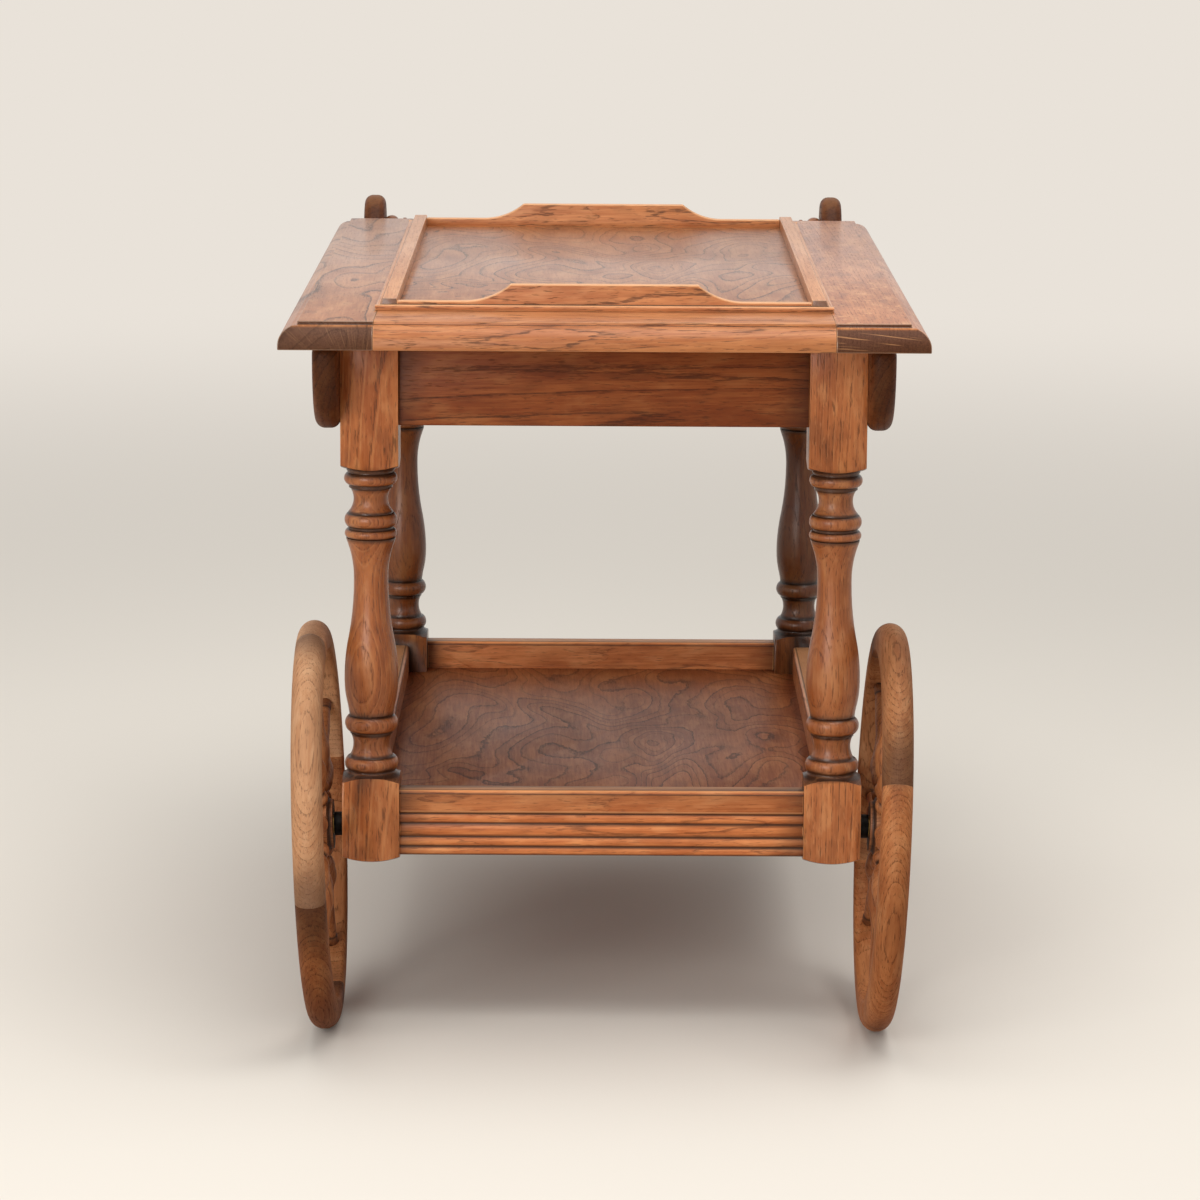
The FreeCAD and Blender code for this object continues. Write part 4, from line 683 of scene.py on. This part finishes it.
class TROLLEY_OT_stage(bpy.types.Operator):
    """Set up the camera, the soft light, the floor and the backdrop"""
    bl_idname = "trolley.stage"
    bl_label = "Stage"

    def execute(self, context):
        scene = context.scene
        scene.view_settings.view_transform = "Standard"
        self.camera(scene, scene.trolley_stage)
        self.floor(scene, scene.trolley_stage)
        self.sky(scene, scene.trolley_stage)
        self.lamps(scene, scene.trolley_stage)
        return {"FINISHED"}

    def camera(self, scene, stage):
        camera = bpy.data.objects.new("Camera", bpy.data.cameras.new("Camera"))
        camera.data.sensor_width = 36
        camera.data.lens = stage.lens
        camera.data.clip_end = 100
        turn = (Matrix.Rotation(stage.yaw, 4, "Z")
                @ Matrix.Rotation(math.radians(90) - stage.pitch, 4, "X")
                @ Matrix.Rotation(stage.roll, 4, "Z"))
        camera.matrix_world = Matrix.Translation(stage.eye) @ turn
        scene.collection.objects.link(camera)
        scene.camera = camera

    def floor(self, scene, stage):
        """A wide floor that fades into the pale backdrop."""
        shape = bmesh.new()
        bmesh.ops.create_grid(shape, x_segments=1, y_segments=1, size=FLOOR_REACH)
        mesh = bpy.data.meshes.new("Floor")
        shape.to_mesh(mesh)
        shape.free()
        finish = Finish("Pale floor")
        seen = finish.seen()
        place = finish.add("ShaderNodeTexCoord").outputs["Object"]
        far = finish.span(finish.vector("LENGTH", place), *FADE, 0, 1, True)
        fade = finish.maths("MULTIPLY", seen, far)
        near = finish.blend(seen, tuple(stage.bounce), tuple(stage.floor))
        finish.give(
            Base_Color=finish.blend(fade, near, (0, 0, 0, 1)), Roughness=0.9,
            Specular_IOR_Level=0.0, Emission_Color=tuple(stage.backdrop),
            Emission_Strength=fade)
        mesh.materials.append(finish.material)
        floor = bpy.data.objects.new("Floor", mesh)
        scene.collection.objects.link(floor)

    def sky(self, scene, stage):
        """A sky that brightens upwards and is seen as the backdrop."""
        world = bpy.data.worlds.new("Soft sky")
        world.use_nodes = True
        nodes = Nodes(world.node_tree)
        height = nodes.parts(nodes.add("ShaderNodeTexCoord").outputs["Generated"])["Z"]
        shares = (stage.sky * share for share in SKY_SHARES)
        light = nodes.span(height, *SKY_HEIGHTS, *shares)
        strength = nodes.span(nodes.seen(), 0, 1, light, stage.backdrop[0])
        background = nodes.tree.nodes["Background"].inputs
        nodes.put(SKY_COLOUR, background["Color"])
        nodes.put(strength, background["Strength"])
        scene.world = world

    def lamps(self, scene, stage):
        """One large soft lamp from the front and one from above."""
        for name, place, aim, size, share in LAMPS:
            lamp = bpy.data.lights.new(name, "AREA")
            lamp.size = size
            lamp.energy = stage.lamp * share
            lamp.color = LAMP_COLOUR
            holder = bpy.data.objects.new(name, lamp)
            turn = (Vector(aim) - Vector(place)).to_track_quat("-Z", "Y").to_matrix().to_4x4()
            holder.matrix_world = Matrix.Translation(place) @ turn
            scene.collection.objects.link(holder)


class TROLLEY_OT_top(bpy.types.Operator):
    """Dress the framed top"""
    bl_idname = "trolley.top"
    bl_label = "Top"

    def execute(self, context):
        glow = dict(shine=0.5, coat=0.35, rough=0.36, ends=(0.2, 0.5), end_share=0.95)
        matt = dict(shine=0.15, coat=0.0, rough=0.6)
        boards = {
            "left": dict(rolling=(5.0, 26.0, 0.38), jag=0.16, light=0.69, rich=0.9, lines=0.9,
                         ink=0.9, pores=0.3, unbroken=0.6),
            "right": dict(away=(0.16, 0.03), growth=0.8, lines=0.15, flecks=0.5, light=0.83,
                          rich=1.04, pores=0.4, mottle=0.35),
        }
        for side, board in boards.items():
            node = f"top_{side}_board"
            wood = oak_set(f"Top {side}", node, "Y", **{**glow, **board})
            ends = oak(f"Top {side} end oak", node, "Y", **{**glow, **board, **matt})
            eased_piece(f"Top {side} board", node, wood, cut=ends)
        rail = dict(rough=0.4, shine=0.3, pores=0.55, light=0.88, rich=0.95, jag=0.6, lines=0.7,
                    ink=0.4, mottle=0.12, unbroken=0.1)
        for end, figure in (("front", (24.0, 8.0, 0.2)), ("back", (20.0, 8.0, 0.16))):
            node = f"top_{end}_rail"
            wood = oak_set(f"Top {end}", node, "X", rolling=figure, **rail)
            eased_piece(f"Top {end} rail", node, wood)
        veneer = oak(
            "Top veneer", "top_panel", "Y", rolling=(7.0, 32.0, 0.5), jag=0.3, light=0.64,
            rich=0.93, shine=0.5, coat=0.35, rough=0.34, lines=1.0, ink=1.0, pores=0.2,
            unbroken=0.6)
        eased_piece("Top panel", "top_panel", [veneer], 0.0002)
        return {"FINISHED"}


class TROLLEY_OT_gallery(bpy.types.Operator):
    """Dress the gallery"""
    bl_idname = "trolley.gallery"
    bl_label = "Gallery"

    def execute(self, context):
        for side, light in (("left", 0.85), ("right", 0.88)):
            node = f"gallery_{side}_strip"
            strip = oak_set(
                f"Gallery {side} strip", node, "Y", away=(0.09, 0.03), lines=0.15, pores=0.3,
                ends=(0.3, 0.7), shine=0.5, coat=0.3, light=light, rich=0.82, mottle=0.1)
            eased_piece(f"Gallery {side} strip", node, strip, 0.0006)
        for end, figure in (("front", (24.0, 7.0, 0.16)), ("back", (26.0, 9.0, 0.2))):
            node = f"gallery_{end}"
            # Crest arrises and tops are paler, as wear and painted highlight.
            crest = oak_set(
                f"Gallery {end}", node, "X", rolling=figure, arris_wear_and_highlight=0.5, up_worn=0.6, jag=0.5,
                light=0.93, rich=0.94, lines=0.65, ink=0.4, pores=0.6, unbroken=0.15)
            eased_piece(f"Gallery {end}", node, crest, 0.001, fill=0.0009)
        return {"FINISHED"}


class TROLLEY_OT_legs(bpy.types.Operator):
    """Dress the turned legs"""
    bl_idname = "trolley.legs"
    bl_label = "Legs"

    def execute(self, context):
        turned = dict(
            reach=(0.02, 0.34), streaks=0.9, lines=0.3, growth=0.75, jag=0.25, wander=0.004,
            ends=(0.6, 0.97), rough=0.3, shine=0.35, pores=0.55, flecks=0.12, mottle=0.4,
            soaked=(0.227, 0.503, 0.35))
        boards = {
            "front_left": dict(away=(0.03, 0.085), pale_lines=0.28, light=1.04, rich=1.08),
            "front_right": dict(
                away=(0.05, 0.05), pale_lines=0.12, light=1.02, rich=1.06, flecks=0.2),
            # The back legs are darker than the front ones, partly as darker wood and partly as
            # painted shade.
            "back_left": dict(away=(-0.03, 0.06), light=0.6, rich=1.1),
            "back_right": dict(away=(0.04, 0.05), light=0.37, rich=1.1),
        }
        for corner, board in boards.items():
            node = f"leg_{corner}"
            wood = oak_set(f"Leg {corner}", node, "Z", **{**turned, **board})
            eased_piece(f"Leg {corner}", node, wood, 0.0005, angle=40, hollows=0.022,
                        least=0.006, groove=0.0035, clamp=True)
        return {"FINISHED"}


class TROLLEY_OT_aprons(bpy.types.Operator):
    """Dress the aprons and corner blocks"""
    bl_idname = "trolley.aprons"
    bl_label = "Aprons"

    def execute(self, context):
        for name, along in (("front", "X"), ("back", "X"), ("left", "Y"), ("right", "Y")):
            node = f"apron_{name}"
            wood = oak_set(
                f"Apron {name}", node, along, rolling=(15.0, 11.0, 0.06), jag=0.4, light=0.68,
                rich=1.25, tips=0.022, lines=0.6, ink=0.3, pores=0.45, shine=0.2, unbroken=0.4)
            eased_piece(f"Apron {name}", node, wood)
        plain = oak("Corner block oak", "corner_blocks", "Z", light=0.8)
        eased_piece("Corner blocks", "corner_blocks", [plain], 0.0005)
        return {"FINISHED"}


class TROLLEY_OT_handle(bpy.types.Operator):
    """Dress the side arms, the push bar and the pellets"""
    bl_idname = "trolley.handle"
    bl_label = "Handle"

    def execute(self, context):
        for side in ("left", "right"):
            node = f"handle_arm_{side}"
            # The arms' dark stain is partly painted shade under the top's overhang; their paler
            # tops are wear and painted highlight.
            wood = oak(
                f"Arm {side} oak", node, "Y", away=(0.05, 0.05), light=0.3, rich=1.2,
                ends=(0.4, 0.9), end_share=0.5, growth=1.3, shine=0.15, rough=0.48, up_worn=0.35)
            eased_piece(f"Arm {side}", node, [wood], 0)
        bar = oak_set("Push bar", "handle_bar", "X", light=0.55, rich=1.05, rough=0.3, coat=0.3,
                      ends=(0.6, 0.95))
        eased_piece("Push bar", "handle_bar", bar, 0.0004, hollows=0.01, **TURNED)
        pellet = oak("Pellet oak", "arm_pellets", "Z", light=0.3)
        eased_piece("Arm pellets", "arm_pellets", [pellet], 0.0002, least=0, clamp=True)
        return {"FINISHED"}


class TROLLEY_OT_shelf(bpy.types.Operator):
    """Dress the tray shelf"""
    bl_idname = "trolley.shelf"
    bl_label = "Tray shelf"

    def execute(self, context):
        veneer = oak(
            "Shelf veneer", "shelf_panel", "Y", rolling=(7.0, 30.0, 0.5), jag=0.45, light=0.84,
            rich=1.12, shine=0.12, rough=0.38, lines=0.85, ink=0.6, pores=0.2, unbroken=0.7)
        eased_piece("Shelf panel", "shelf_panel", [veneer], 0.0003)
        # The back rail is lighter (1.75 against 1.35): painted light, where the lamps reach it
        # less.
        rails = (("front", "X", 0.022, 1.35), ("back", "X", 0.022, 1.75),
                 ("left", "Y", 0.016, 1.35), ("right", "Y", 0.016, 1.35))
        for name, along, tips, light in rails:
            node = f"shelf_rail_{name}"
            # Rail arrises and tops are paler, as wear and painted highlight; reed grooves darker,
            # as dirt and painted shade.
            wood = oak_set(
                f"Shelf rail {name}", node, along, arris_wear_and_highlight=0.45, rolling=(20.0, 8.0, 0.15),
                jag=0.5, tips=tips, up_worn=0.5, lines=0.4, pores=0.4, light=light, rich=1.05)
            eased_piece(f"Shelf rail {name}", node, wood, 0.001, fill=0.0007, hollows=0.006,
                        groove=0.0022)
        plain = oak("Batten oak", "shelf_battens", "Y", light=0.8)
        eased_piece("Shelf battens", "shelf_battens", [plain], 0.0006)
        return {"FINISHED"}


class TROLLEY_OT_wheels(bpy.types.Operator):
    """Dress the spoked wheels"""
    bl_idname = "trolley.wheels"
    bl_label = "Wheels"

    def execute(self, context):
        centres = {item["child"]: Vector(item["pos_m"]) for item in frame["joints"]}
        # How light and rich each felloe's stain is, and how far darkening reaches in at its tips.
        stains = {
            "left": ((0.7, 0.95, 0), (0.54, 1.05, 0.012), (0.82, 0.62, 0.004), (0.88, 0.6, 0)),
            "right": ((0.7, 0.8, 0), (0.68, 0.85, 0.014), (0.82, 0.98, 0), (0.85, 1.0, 0)),
        }
        for side, tones in stains.items():
            for number, (light, rich, tips) in enumerate(tones, 1):
                self.felloe(side, number, centres[f"{side}_wheel"],
                            dict(light=light, rich=rich, tips=tips))
            spokes = oak(f"Spoke {side} oak", f"spokes_{side}", "Z", light=0.7, rough=0.5,
                         lines=0.3, ends=(0.9, 1.0))
            eased_piece(f"Spokes {side}", f"spokes_{side}", [spokes], 0, hollows=0.008, **TURNED)
            nave = oak_set(
                f"Hub {side}", f"hub_{side}", "X", away=(0.02, 0.04), light=0.7, rough=0.5)
            eased_piece(f"Hub {side}", f"hub_{side}", nave, 0.0004, hollows=0.008, **TURNED)
        return {"FINISHED"}

    def felloe(self, side, number, centre, stain):
        """One curved rim piece, its grain along its chord."""
        name, node = f"Felloe {side} {number}", f"felloe_{side}_{number}"
        low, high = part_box(node)
        middle = (Vector(low) + Vector(high)) / 2 - centre
        turn = (-math.atan2(middle.z, middle.y), 0, 0)
        wood = oak_set(
            name, node, turn=turn, away=(0.004, 0.05 + 0.01 * number), rough=0.6, shine=0.15,
            lines=0.4, jag=0.3, growth=0.7, wander=0.003, pores=0.5, ends=(0.4, 0.9),
            end_share=0.6, lean=(0.02, 0.03), half=0.12, clouds=0.5, **stain)
        eased_piece(name, node, wood, 0.0004, **TURNED)


class TROLLEY_OT_metalwork(bpy.types.Operator):
    """Dress the axles, caps, castors and screws"""
    bl_idname = "trolley.metalwork"
    bl_label = "Metalwork"

    def execute(self, context):
        brass = metal("Aged brass", tone(190, 150, 84), tone(86, 62, 34), 0.32, 0.8)
        iron = metal("Blackened iron", tone(60, 58, 56), tone(24, 22, 20), 0.45, 0.9)
        steel = metal("Dull steel", tone(170, 168, 164), tone(90, 84, 78), 0.35, 0.7)
        dressed = {
            "hub_cap_left": brass, "hub_cap_right": brass, "bush_left": brass,
            "bush_right": brass, "axle_left": iron, "axle_right": iron, "axle_washers": steel,
            "axle_nuts": steel, "castor_stem_left": brass, "castor_stem_right": brass,
            "castor_fork_left": brass, "castor_fork_right": brass, "castor_wheel_left": brass,
            "castor_wheel_right": brass, "castor_axle_left": steel, "castor_axle_right": steel,
            "top_screws": steel, "arm_screws": steel, "shelf_screws": steel,
        }
        for node, material in dressed.items():
            name = node.replace("_", " ").capitalize()
            eased_piece(name, node, [material], 0.0002, **TURNED)
        return {"FINISHED"}


class TROLLEY_PT_panel(bpy.types.Panel):
    """Lists the trolley's pieces and settings"""
    bl_label = "Serving trolley"
    bl_idname = "TROLLEY_PT_panel"
    bl_space_type = "VIEW_3D"
    bl_region_type = "UI"
    bl_category = "Trolley"

    def draw(self, context):
        for operator in OPERATORS:
            self.layout.operator(operator.bl_idname)
        for name, group in SETTINGS.items():
            box = self.layout.box()
            for key in group.__annotations__:
                box.prop(getattr(context.scene, name), key)


SETTINGS = {
    "oak_colours": OakColours, "trolley_sizes": TrolleySizes, "trolley_stage": StageSettings}
OPERATORS = (
    TROLLEY_OT_stage, TROLLEY_OT_top, TROLLEY_OT_gallery, TROLLEY_OT_legs, TROLLEY_OT_aprons,
    TROLLEY_OT_handle, TROLLEY_OT_shelf, TROLLEY_OT_wheels, TROLLEY_OT_metalwork,
)


def register():
    for name, group in SETTINGS.items():
        bpy.utils.register_class(group)
        setattr(bpy.types.Scene, name, PointerProperty(type=group))
    for operator in OPERATORS:
        bpy.utils.register_class(operator)
    bpy.utils.register_class(TROLLEY_PT_panel)


def unregister():
    bpy.utils.unregister_class(TROLLEY_PT_panel)
    for operator in reversed(OPERATORS):
        bpy.utils.unregister_class(operator)
    for name, group in SETTINGS.items():
        delattr(bpy.types.Scene, name)
        bpy.utils.unregister_class(group)


def main():
    """Make every piece in order."""
    register()
    bpy.ops.trolley.stage()
    bpy.ops.trolley.top()
    bpy.ops.trolley.gallery()
    bpy.ops.trolley.legs()
    bpy.ops.trolley.aprons()
    bpy.ops.trolley.handle()
    bpy.ops.trolley.shelf()
    bpy.ops.trolley.wheels()
    bpy.ops.trolley.metalwork()


if __name__ == "__main__":
    main()
